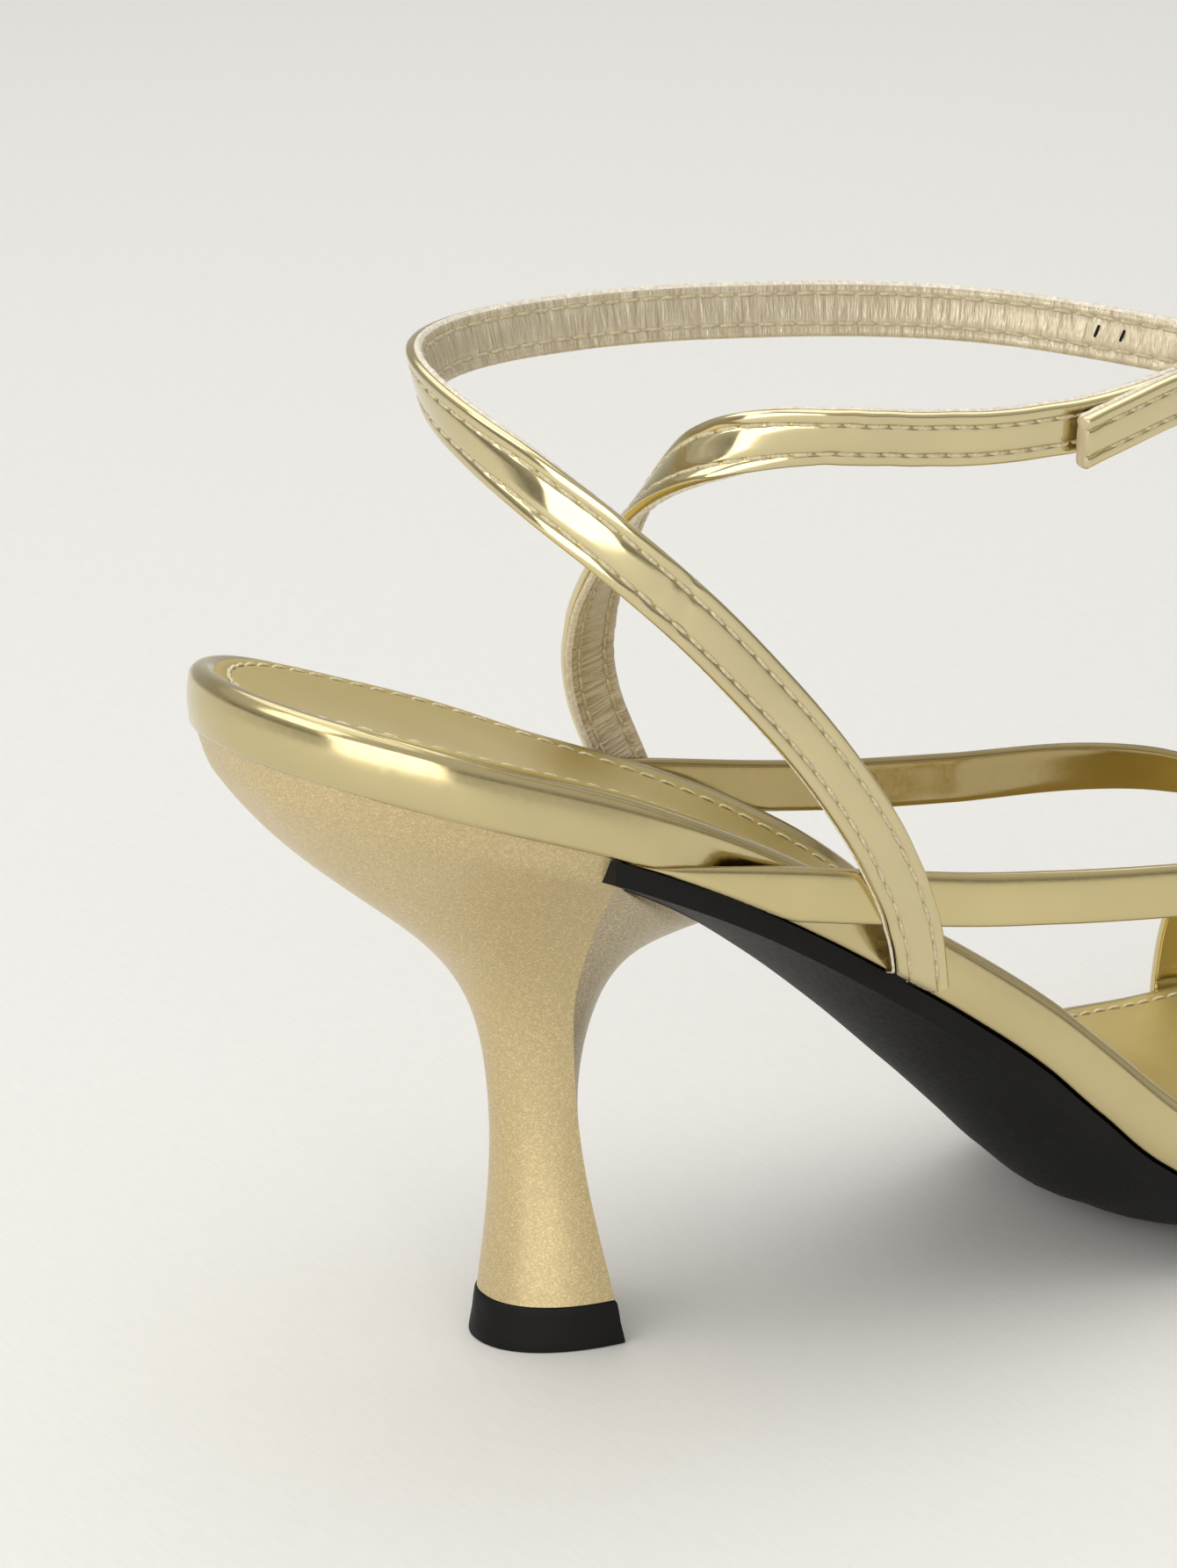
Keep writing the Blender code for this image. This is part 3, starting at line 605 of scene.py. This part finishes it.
def heel():
    cols = []
    for k in range(7):
        raw = rounded(np.arange(len(HEEL)), HEEL[:, k])
        fine = np.arange(0, len(HEEL) - 1 + 1e-6, 0.1)
        vals = np.array([raw(v) for v in fine])
        for _ in range(3):
            reach = 6
            pad = np.concatenate([2 * vals[0] - vals[reach:0:-1], vals, 2 * vals[-1] - vals[-2:-reach - 2:-1]])
            vals = np.convolve(pad, np.ones(2 * reach + 1) / (2 * reach + 1), "valid")
        cols.append(rounded(fine, vals))
    seat = []
    _, edge, inward = outline(840)
    for i, (x, y, _) in enumerate(heel_ring(HEEL[0], 2.7)):
        if i < SIDE:
            j = int(np.argmin((edge[:, 0] - x) ** 2 + (edge[:, 1] - y) ** 2))
            depth = (x - edge[j, 0]) * inward[j, 0] + (y - edge[j, 1]) * inward[j, 1]
            short = max(0.0, 0.5 - depth)
            x, y = x + inward[j, 0] * short, y + inward[j, 1] * short
        else:
            y *= 0.89
        under = bed_under(x, across(x, y)) if i < SIDE else sole_under(x, across(x, y))
        seat.append((x, y, under + (0.7 if i < SIDE else -0.08)))
    rings = []
    cx = 24.0
    for k in (0.02, 0.4, 0.75, 0.94):
        ring = []
        for i, (x, y, _) in enumerate(seat):
            x2, y2 = cx + (x - cx) * k, y * k
            t = across(x2, y2)
            under_sheet = x2 > OUTSOLE_BACK - 1 and (i >= SIDE or k < 0.8)
            ring.append((x2, y2, (sole_under(x2, t) if under_sheet else bed_under(x2, t)) - 0.4))
        rings.append(ring)
    rings.append(seat)
    first = np.array(heel_ring([c(1.0) for c in cols], heel_power(1.0)))
    second = np.array(heel_ring([c(2.0) for c in cols], heel_power(2.0)))
    top = np.array(seat)
    m0, m1 = first - top, (second - top) / 2
    for s in (0.12, 0.25, 0.4, 0.55, 0.7, 0.85):
        rings.append([tuple(v) for v in (1 + 2 * s) * (1 - s) ** 2 * top + s * (1 - s) ** 2 * m0
                      + s * s * (3 - 2 * s) * first + s * s * (s - 1) * m1])
    for level in np.arange(1.0, len(HEEL) - 1 + 1e-6, 0.25):
        rings.append(heel_ring([c(level) for c in cols], heel_power(level)))
    bm = skin(rings)
    bm.verts.ensure_lookup_table()
    n = len(seat)
    breast = set(range(SIDE - 1, n)) | {0}
    for f in bm.faces:
        idx = [v.index % n for v in f.verts]
        if len(idx) == 4 and all(i in breast for i in idx):
            f.material_index = 1
    return bm


def lift():
    top = (33.75, LIFT, 46.75, LIFT, 9.15, 47.95, LIFT)
    foot = (32.8, 0.0, 47.7, 0.0, 9.6, 48.9, 0.0)
    rings = []
    for s, grow in ((0.0, -0.25), (0.03, -0.06), (0.07, 0.0), (0.25, 0.0), (0.5, -0.05), (0.75, 0.0),
                    (0.93, 0.02), (0.975, -0.05), (1.0, -0.3)):
        r = [a + (b - a) * s for a, b in zip(top, foot)]
        r[0] -= grow
        r[2] += grow
        r[4] += grow
        r[5] += grow
        rings.append(heel_ring(r, 2.2))
    return skin(rings)


def sole_xs(first, last, step):
    xs = [first]
    x = first
    while x < last - 0.02:
        w = min(half_width(1, x), half_width(-1, x))
        x += step if x < TOE_START + 25 else max(0.12, step * (LENGTH - x) / 38.0)
        xs.append(min(x, last))
    return xs


def outsole():
    """Black sheet with a square trimmed edge and a rounded underside."""
    rings = []
    n = 28
    for x in sole_xs(OUTSOLE_BACK, LENGTH - 0.3, 1.6):
        top, low = [], []
        for i in range(n + 1):
            t = math.sin(-math.pi / 2 + math.pi * i / n)
            full = max(half_width(1 if t > 0 else -1, x), 0.5)
            w = max(full - 0.35, 0.3)
            e = t * w / full
            y = middle(x) + t * w
            top.append((x, y, sole_top(x, e)))
            low.append((x, y, sole_under(x, e)))
        # trimmed edge: square, set in 0.35 mm under the rim line
        rings.append(top + low[::-1])
    return skin(rings)


# ------------------------------------------------------------------ straps
def strap_path(rows, step):
    p = np.array(rows, float)
    d = np.linalg.norm(np.diff(p[:, :3], axis=0), axis=1)
    knots = np.concatenate([[0], np.cumsum(d)])
    m = np.zeros_like(p)
    m[1:-1] = (p[2:] - p[:-2]) / (knots[2:] - knots[:-2])[:, None]
    m[0] = (p[1] - p[0]) / d[0]
    m[-1] = (p[-1] - p[-2]) / d[-1]
    count = max(4, int(round(knots[-1] / step)))
    out = []
    for q in np.linspace(0, knots[-1], count + 1):
        i = min(int(np.searchsorted(knots, q, side="right")) - 1, len(d) - 1)
        s, h = (q - knots[i]) / d[i], d[i]
        out.append((1 + 2 * s) * (1 - s) ** 2 * p[i] + s * (1 - s) ** 2 * h * m[i]
                   + s * s * (3 - 2 * s) * p[i + 1] + s * s * (s - 1) * h * m[i + 1])
    return np.array(out), np.linspace(0, knots[-1], count + 1)


class Strap:
    """A strap's middle line with its directions along, across and out."""

    def __init__(self, rows, step=1.1, creases=()):
        path, self.s = strap_path(rows, step)
        # a little blur takes out the corners that the table's rows leave
        k = np.array([1, 4, 6, 4, 1], float) / 16
        for _ in range(int(round(6 * (1.1 / step) ** 2))):
            pad = np.vstack([2 * path[0] - path[2:0:-1], path, 2 * path[-1] - path[-2:-4:-1]])
            path = np.stack([np.convolve(pad[:, c], k, "valid") for c in range(path.shape[1])], -1)
        self.mid = path[:, :3]
        self.width = path[:, 5]
        self.along = np.gradient(self.mid, axis=0)
        self.along /= np.linalg.norm(self.along, axis=1)[:, None]
        bear, up = np.radians(path[:, 3]), np.radians(path[:, 4])
        out = np.stack([np.cos(up) * np.cos(bear), np.cos(up) * np.sin(bear), np.sin(up)], -1)
        out -= self.along * np.sum(out * self.along, axis=1)[:, None]
        self.out = out / np.linalg.norm(out, axis=1)[:, None]
        self.side = np.cross(self.along, self.out)
        self.length = self.s[-1]
        # creases: (place, reach, depth, slant) soft troughs across the strap
        self.creases = creases

    def crease(self, s, k):
        z = 0.0
        for at, reach, depth, slant in self.creases:
            u = (s - at - slant * k) / reach
            z -= depth * math.exp(-u * u)
        return z

    def point(self, i, k, d, w=None):
        """k across from -0.5 to 0.5, d out from the middle."""
        w = self.width[i] if w is None else w
        return self.mid[i] + self.side[i] * (k * w) + self.out[i] * (d + self.crease(self.s[i], k))

    def at(self, s, k, d):
        i = min(max(int(np.searchsorted(self.s, s)), 1), len(self.s) - 1)
        f = (s - self.s[i - 1]) / (self.s[i] - self.s[i - 1])
        return self.point(i - 1, k, d) * (1 - f) + self.point(i, k, d) * f


ROW_L, ROW_R = -0.27, 0.27
PITCH, STITCH_FROM = 2.75, 1.5


def wander(s, wave, seed):
    """A steady, uneven ripple along a strap, about -1 to 1."""
    return (math.sin(2 * math.pi * s / wave + seed * 1.7) + math.sin(2 * math.pi * s / (wave * 1.618) + seed * 2.9)
            + math.sin(2 * math.pi * s / (wave * 2.414) + seed * 0.7)) / 3


def tuck(p, side, s):
    """Below the rim's seam a strap turns in between footbed and outsole."""
    if not side or (s > 60 and side in (-1, 1)):
        return p
    x, y, z = p
    here = side if side in (-1, 1) else (1 if y > 0 else -1)
    seam = bed_under(x, here) + 0.1
    e = seam - z
    if e <= -0.6:
        return p
    w = e if e >= 0.6 else (e + 0.6) ** 2 / 2.4
    return (x, y - here * 0.9 * w, z + 0.84 * w)


def strap_mesh(strap, thick, kind, tab=None, tucked=0, thin=None):
    """kind 'sewn': foil outside, raw edges, lining inside; 'folded': foil all round."""
    h = thick / 2
    rows = set()
    if kind == "sewn":
        # outer face: a bead on each edge, a stitched groove, a soft crown between
        outer = [(-0.5, 0.55), (-0.497, 0.8), (-0.482, 0.98), (-0.45, 1.08), (-0.39, 1.13), (-0.33, 1.09),
                 (-0.295, 0.98), (ROW_L, 0.88), (-0.245, 0.98), (-0.205, 1.09), (-0.1, 1.15), (0.0, 1.165), (0.1, 1.15),
                 (0.205, 1.09), (0.245, 0.98), (ROW_R, 0.88), (0.295, 0.98), (0.33, 1.09), (0.39, 1.13), (0.45, 1.08),
                 (0.482, 0.98), (0.497, 0.8), (0.5, 0.55)]
        edge_b = [(0.502, 0.3), (0.499, 0.02), (0.486, -0.1), (0.5, -0.24), (0.497, -0.62)]
        inner = [(0.49, -0.7), (0.425, -0.93), (0.39, -1.1), (0.33, -1.05), (ROW_R, -0.84), (0.21, -1.02), (0.1, -1.08),
                 (0.0, -1.08), (-0.1, -1.08), (-0.21, -1.02), (ROW_L, -0.84), (-0.33, -1.05), (-0.40, -1.1),
                 (-0.47, -0.98), (-0.49, -0.74)]
        edge_a = [(-0.497, -0.62), (-0.5, -0.24), (-0.486, -0.1), (-0.499, 0.02), (-0.502, 0.3)]
        prof = outer + edge_b + inner + edge_a
        n_o, n_b, n_i = len(outer), len(edge_b), len(inner)
        kinds = []
        for j in range(len(prof)):
            if j < n_o + 2 or j >= len(prof) - 3:
                kinds.append(0)
            elif j < n_o + n_b + 1:
                kinds.append(2)
            elif j < n_o + n_b + n_i - 1:
                kinds.append(1)
            else:
                kinds.append(2)
        rows = {j for j, (k, _) in enumerate(prof) if k in (ROW_L, ROW_R)}
        lined = range(n_o + n_b, n_o + n_b + n_i)
        frayed = set(range(n_o + 3, n_o + n_b)) | set(range(n_o + n_b + n_i, len(prof) - 3))
    else:
        prof, kinds = [], []
        half = [0.5 * math.cos(math.radians(a)) ** 0.28 for a in (14, 28, 42, 55, 69, 83)] + [0.2, 0.12, 0.04]
        face = [0.5] + half + [-k for k in reversed(half)] + [-0.5]
        for k, way in [(k, 1) for k in face] + [(k, -1) for k in face[-2:0:-1]]:
            c = (2 * abs(k)) ** (1 / 0.28)
            d = way * math.sqrt(max(0.0, 1 - c * c)) ** 0.55
            d *= 1.0 + (0.22 if way > 0 else -0.1) * (1 - (2 * k) ** 2)
            prof.append((k, d))
            kinds.append(0)
    bm = bmesh.new()
    uv = bm.loops.layers.uv.new("strap")
    loops = []
    for i in range(len(strap.s)):
        grow = 1.0
        if thin:
            q = min(1.0, strap.s[i] / thin)
            grow = 0.4 + 0.6 * q * q * (3 - 2 * q)
        if tab and strap.length - strap.s[i] < tab:
            grow = 1.0 + 0.12 * (1 - (strap.length - strap.s[i]) / tab)
        ring = []
        hole = 0.5 + 0.5 * math.cos(2 * math.pi * (strap.s[i] - STITCH_FROM) / PITCH)
        for j, (k, d) in enumerate(prof):
            out_by = d * h * grow
            if j in rows:
                out_by -= math.copysign(0.16 * hole ** 2, d)
            elif kind == "sewn" and j in lined:
                # the lining puckers between its stitches and creases across
                out_by -= 0.05 * (1 - hole) * (1 if abs(k) > 0.3 else 0.4)
                out_by += 0.05 * wander(strap.s[i], 1.6, j % 3) + 0.04 * wander(strap.s[i], 3.4, 7)
            elif kind == "sewn" and j in frayed:
                k = k + 0.006 * wander(strap.s[i], 0.9, j)
            ring.append(bm.verts.new(world(tuck(strap.point(i, k, out_by), tucked, strap.s[i]))))
        loops.append(ring)
    n = len(prof)
    for i in range(len(loops) - 1):
        a, b = loops[i], loops[i + 1]
        for j in range(n):
            j2 = (j + 1) % n
            f = bm.faces.new((a[j], a[j2], b[j2], b[j]))
            f.material_index = kinds[j]
            for loop, (ii, jj) in zip(f.loops, ((i, j), (i, j2), (i + 1, j2), (i + 1, j))):
                loop[uv].uv = (strap.s[ii], prof[jj][0] * strap.width[ii])
    first = bm.faces.new(loops[0][::-1])
    tip = loops[-1]
    if kind == "sewn":
        first.material_index = 2
        for shrink, ahead in ((0.9, 0.22), (0.68, 0.34)):
            ring = []
            for v, (k, d) in zip(loops[-1], prof):
                c = strap.point(len(strap.s) - 1, k * (1 - 0.06 * (1 - shrink)), d * h * shrink)
                ring.append(bm.verts.new(world(c + strap.along[-1] * ahead)))
            for j in range(n):
                f = bm.faces.new((tip[j], tip[(j + 1) % n], ring[(j + 1) % n], ring[j]))
                f.material_index = 0 if shrink > 0.8 and kinds[j] == 0 else 1
            tip = ring
    last = bm.faces.new(tip)
    if kind == "sewn":
        last.material_index = 1
    return bm


def capsule(bm, a, b, out, radius, flat=0.7, index=0):
    """A stitch: a short round-ended thread from a to b that dips at its ends."""
    a, b, out = (np.asarray(v, float) for v in (a, b, out))
    t = b - a
    length = np.linalg.norm(t)
    t /= length
    side = np.cross(t, out)
    side /= np.linalg.norm(side)
    up = np.cross(side, t)
    rings = []
    for s, r, dip in ((0.0, 0.35, -0.9), (0.1, 0.85, -0.25), (0.3, 1.0, 0.1), (0.7, 1.0, 0.1), (0.9, 0.85, -0.25),
                      (1.0, 0.35, -0.9)):
        c = a + t * (length * s) + up * (dip * radius)
        rings.append([bm.verts.new(world(c + (side * math.cos(q) + up * math.sin(q) * flat) * radius * r))
                      for q in (math.pi * 2 * j / 6 for j in range(6))])
    faces = []
    for p, q in zip(rings, rings[1:]):
        for j in range(6):
            faces.append(bm.faces.new((p[j], p[(j + 1) % 6], q[(j + 1) % 6], q[j])))
    faces.append(bm.faces.new(rings[0][::-1]))
    faces.append(bm.faces.new(rings[-1]))
    for f in faces:
        f.material_index = index


def strap_stitches(strap, thick, start, stop, tucked, pitch=PITCH, sides=(1, -1), radius=0.26):
    bm = bmesh.new()
    h = thick / 2
    for side in sides:
        for k in (ROW_L, ROW_R):
            s = start
            while s + pitch < stop:
                d = h * (0.98 if side > 0 else -0.96)
                wob = 0.008 * rng.uniform(-1, 1)
                a = tuck(strap.at(s + 0.12, k + wob, d), tucked, s)
                b = tuck(strap.at(s + pitch - 0.12, k - wob, d), tucked, s)
                i = min(int(np.searchsorted(strap.s, s + pitch / 2)), len(strap.s) - 1)
                capsule(bm, a, b, strap.out[i] * side, radius)
                s += pitch
    return bm


def sock_stitches():
    bm = bmesh.new()
    count = 2400
    _, p, inn = outline(count)
    q = p + inn * 4.6
    d = np.linalg.norm(np.diff(np.vstack([q, q[:1]]), axis=0), axis=1)
    s = np.concatenate([[0], np.cumsum(d)])
    closed = np.vstack([q, q[:1]])
    pitch = 2.7
    n = int(s[-1] / pitch)
    pitch = s[-1] / n

    def at(v):
        x, y = np.interp(v, s, closed[:, 0]), np.interp(v, s, closed[:, 1])
        return np.array([x, y, bed_top(x, across(x, y)) + 0.78])

    for i in range(n):
        a, b = at(i * pitch + 0.25), at((i + 1) * pitch - 0.3)
        if np.linalg.norm(b - a) < 0.8:
            continue
        slope = (rim_at(min(a[0] + 1, LENGTH)) - rim_at(max(a[0] - 1, 0))) / 2
        up = np.array([-slope, 0, 1.0])
        capsule(bm, a, b, up / np.linalg.norm(up), 0.26)
    return bm


def ball_rows():
    def fold(angle, z=None):
        c, s = -math.cos(angle), math.sin(angle)
        side = 1 if c > 0 else -1
        x = BALL_X + BALL_SKEW * c + BALL_LEAN * s
        snug = middle(x) + side * (half_width(side, x) + 0.8)
        w = max(0.0, 1 - s / 0.45)
        w *= w * (3 - 2 * w)
        y = (BALL_INNER if c > 0 else BALL_OUTER) * c * (1 - w) + snug * w
        up = math.degrees(math.atan2(s * 40.0, abs(c) * 43.0))
        return (x, y, BALL_SPRING + BALL_RISE * s if z is None else z,
                -90, up if c <= 0 else 180 - up, VAMP_STRAP)
    n = 16
    foot = BALL_FOOT - 3.2
    return [fold(0.0, foot)] + [fold(math.pi * i / n) for i in range(n + 1)] + [fold(math.pi, foot)]


# creases: place along the strap in mm, reach, depth, slant across
long_strap = Strap(LONG_STRAP, 0.55, creases=[
    (12.0, 1.6, 0.22, 1.2), (19.0, 2.4, 0.16, -1.5), (64.5, 1.0, 0.22, 3.2), (68.0, 1.5, 0.14, -2.2),
    (88.0, 3.0, 0.12, 1.0), (137.0, 1.6, 0.12, 0.6), (212.0, 2.0, 0.1, 1.0), (246.0, 2.2, 0.12, -1.0)])
short_strap = Strap(SHORT_STRAP, 0.55, creases=[
    (36.8, 2.5, 0.15, 1.0), (83.8, 2.2, 0.16, 1.5), (97.8, 1.4, 0.2, -2.5), (103.8, 1.8, 0.16, 2.0),
    (110.8, 2.2, 0.14, -1.2), (124.8, 2.4, 0.12, 1.0)])
outer_waist = Strap(OUTER_WAIST, 0.7, creases=[(40.0, 4.0, 0.1, 2.0), (58.0, 3.0, 0.12, 1.0)])
inner_waist = Strap(INNER_WAIST, 0.7, creases=[(62.0, 4.0, 0.15, 1.0), (80.0, 3.0, 0.12, -1.0)])
ball = Strap(ball_rows(), 0.8, creases=[(63.0, 3.0, 0.12, 1.0)])

piece("footbed_cover", footbed(), [M_RIM], "footbed", "footbed", sharp=60)
piece("sock_cover", sock(), [M_SOCK], "insole_sock", "insole_sock", sharp=60)
piece("sock_stitching", sock_stitches(), [M_SOCKTHREAD], "insole_sock", None, sharp=None)
piece("heel_block", heel(), [M_HEEL, M_BREAST], "heel", "heel", sharp=50)
piece("top_piece", lift(), [M_LIFT], "heel_top_piece", "heel_top_piece", sharp=30)
piece("outsole_sheet", outsole(), [M_SOLE], "outsole", "outsole", sharp=40)

SEWN = [M_STRAP, M_LINING, M_RAW]
piece("long_strap", strap_mesh(long_strap, STRAP_THICK, "sewn", 3.0, -1), SEWN, "upper_straps", "upper_straps", 50)
piece("short_strap", strap_mesh(short_strap, STRAP_THICK, "sewn", None, 1), SEWN, "upper_straps", "upper_straps", 50)
piece("outer_waist_strap", strap_mesh(outer_waist, VAMP_THICK, "folded", None, -1, 24.0), [M_FOLD], "upper_straps", "upper_straps", 60)
# the far inner waist strap takes the darker foil copy: painted shade
piece("inner_waist_strap", strap_mesh(inner_waist, VAMP_THICK, "folded", None, 1, 24.0), [M_SHADED_FOLD], "upper_straps", "upper_straps", 60)
piece("ball_band", strap_mesh(ball, VAMP_THICK, "folded", None, 2), [M_FOLD], "upper_straps", "upper_straps", 60)
piece("long_strap_stitching", strap_stitches(long_strap, STRAP_THICK, STITCH_FROM, long_strap.length - 1.6, -1), [M_THREAD],
      "upper_straps", None, None)
piece("short_strap_stitching", strap_stitches(short_strap, STRAP_THICK, STITCH_FROM, short_strap.length - 1.0, 1), [M_THREAD],
      "upper_straps", None, None)


def slits():
    """Two short slits in the long strap's lining, where the fastening goes in."""
    bm = bmesh.new()
    s0 = long_strap.length - 72.0
    for s in (s0, s0 + 3.2):
        i = int(np.searchsorted(long_strap.s, s))
        a = long_strap.at(s, -0.12, -STRAP_THICK / 2 * 1.16)
        b = long_strap.at(s + 0.4, 0.14, -STRAP_THICK / 2 * 1.16)
        capsule(bm, a, b, -long_strap.out[i], 0.2, 0.5)
    return bm


piece("strap_slits", slits(), [M_SLIT], "upper_straps", None, None)


# ------------------------------------------------------------------ stage
def stage_material(name, low, high, scale, strength):
    mat, nodes, links, shader = new_material(name)
    pos = nodes.new("ShaderNodeTexCoord").outputs["Object"]
    weave = noise(nodes, links, pos, scale, 3.0, 0.6, (1.0, 0.12, 1.0))
    col = ramp(nodes, links, weave.outputs["Fac"], [(0.3, low), (0.7, high)])
    links.new(col.outputs["Color"], shader.inputs["Base Color"])
    shader.inputs["Roughness"].default_value = 0.9
    b = bump(nodes, links, weave.outputs["Fac"], strength, 0.0004)
    links.new(b.outputs["Normal"], shader.inputs["Normal"])
    return mat


TH, EP = math.radians(29.56), math.radians(16.30)
forward = np.array([math.sin(TH) * math.cos(EP), math.cos(TH) * math.cos(EP), -math.sin(EP)])
right = np.array([math.cos(TH), -math.sin(TH), 0.0])
upward = np.cross(right, forward)
flat_forward = np.array([math.sin(TH), math.cos(TH), 0.0])
eye = np.array(world((-230.98, -492.03, 232.04)))


def backdrop():
    """Pale floor that sweeps up into a plain backdrop behind the shoe."""
    bm = bmesh.new()
    rows = []
    start, radius = 2.9, 0.6
    profile = [(-9.0, 0.0), (-1.6, 0.0), (-0.5, 0.0), (0.2, 0.0), (0.6, 0.0), (1.2, 0.0), (2.0, 0.0), (start, 0.0)]
    for a in range(10, 91, 10):
        q = math.radians(a)
        profile.append((start + radius * math.sin(q), radius * (1 - math.cos(q))))
    profile.append((start + radius, 2.4))
    for d, z in profile:
        line = []
        for u in np.linspace(-9.0, 9.0, 9):
            c = np.array([eye[0], eye[1], 0.0]) + flat_forward * d + right * u
            line.append(bm.verts.new((c[0], c[1], z)))
        rows.append(line)
    for a, b in zip(rows, rows[1:]):
        for i in range(8):
            bm.faces.new((a[i], a[i + 1], b[i + 1], b[i]))
    bmesh.ops.recalc_face_normals(bm, faces=bm.faces)
    mesh = bpy.data.meshes.new("pale_floor")
    bm.to_mesh(mesh)
    bm.free()
    mesh.shade_smooth()
    obj = bpy.data.objects.new("pale_floor", mesh)
    mesh.materials.append(stage_material("pale_cloth", (0.795, 0.79, 0.775), (0.825, 0.82, 0.805), 1500.0, 0.06))
    bpy.context.scene.collection.objects.link(obj)


backdrop()


def area(name, where, look, size, energy, colour=(1, 1, 1), size_y=None):
    lamp = bpy.data.lights.new(name, "AREA")
    lamp.energy = energy
    lamp.color = colour
    lamp.shape = "RECTANGLE"
    lamp.size = size
    lamp.size_y = size_y or size
    obj = bpy.data.objects.new(name, lamp)
    bpy.context.scene.collection.objects.link(obj)
    w, t = np.array(where, float), np.array(look, float)
    z = (w - t) / np.linalg.norm(w - t)
    x = np.cross((0, 0, 1.0), z)
    x /= np.linalg.norm(x)
    y = np.cross(z, x)
    from mathutils import Matrix
    obj.matrix_world = Matrix(((x[0], y[0], z[0], w[0]), (x[1], y[1], z[1], w[1]),
                               (x[2], y[2], z[2], w[2]), (0, 0, 0, 1)))
    return obj


centre = np.array(world((70.0, 0.0, 70.0)))
area("key", centre - right * 0.75 - flat_forward * 0.35 + np.array([0, 0, 0.95]), centre, 0.9, 5.0, (1.0, 0.99, 0.97))
area("top", centre + flat_forward * 0.15 + np.array([0, 0, 1.2]), centre, 0.9, 1.8, (1.0, 0.995, 0.98))
area("back", centre + flat_forward * 1.15 + np.array([0, 0, 1.25]), centre + flat_forward * 1.15 + right * 0.01, 1.3,
     5.6, (1.0, 0.985, 0.955))
# a broad low panel on the viewer's side, which the long strap and the rim mirror
panel = np.array([math.cos(math.radians(-128)), math.sin(math.radians(-128)), 0.0])
at = centre + panel * 1.0
area("panel", (at[0], at[1], 0.24), (centre[0], centre[1], 0.10), 1.25, 6.8, (1.0, 0.99, 0.96), 0.68)

sky = bpy.data.worlds.new("soft_room")
bpy.context.scene.world = sky
sky.use_nodes = True
wn, wl = sky.node_tree.nodes, sky.node_tree.links
back = wn["Background"]
tc = wn.new("ShaderNodeTexCoord")
sep = wn.new("ShaderNodeSeparateXYZ")
wl.new(tc.outputs["Generated"], sep.inputs["Vector"])
shade = wn.new("ShaderNodeValToRGB")
els = shade.color_ramp.elements
els[0].position, els[0].color = 0.0, (0.30, 0.28, 0.24, 1)
els[1].position, els[1].color = 1.0, (1.0, 0.99, 0.96, 1)
mid = els.new(0.5)
mid.color = (0.34, 0.32, 0.28, 1)
mid2 = els.new(0.68)
mid2.color = (0.8, 0.78, 0.73, 1)
half = wn.new("ShaderNodeMapRange")
half.inputs["From Min"].default_value = -1.0
half.inputs["From Max"].default_value = 1.0
wl.new(sep.outputs["Z"], half.inputs["Value"])
wl.new(half.outputs["Result"], shade.inputs["Fac"])
wl.new(shade.outputs["Color"], back.inputs["Color"])
back.inputs["Strength"].default_value = 0.67

cam = bpy.data.cameras.new("photo_camera")
cam.sensor_width = 36.0
cam.sensor_fit = "AUTO"
cam.lens = 5760.0 * 36.0 / 1785.0
cam.clip_start = 0.01
cam_obj = bpy.data.objects.new("photo_camera", cam)
bpy.context.scene.collection.objects.link(cam_obj)
from mathutils import Matrix
cam_obj.matrix_world = Matrix(((right[0], upward[0], -forward[0], eye[0]), (right[1], upward[1], -forward[1], eye[1]),
                               (right[2], upward[2], -forward[2], eye[2]), (0, 0, 0, 1)))
bpy.context.scene.camera = cam_obj
bpy.context.scene.view_settings.view_transform = "Standard"
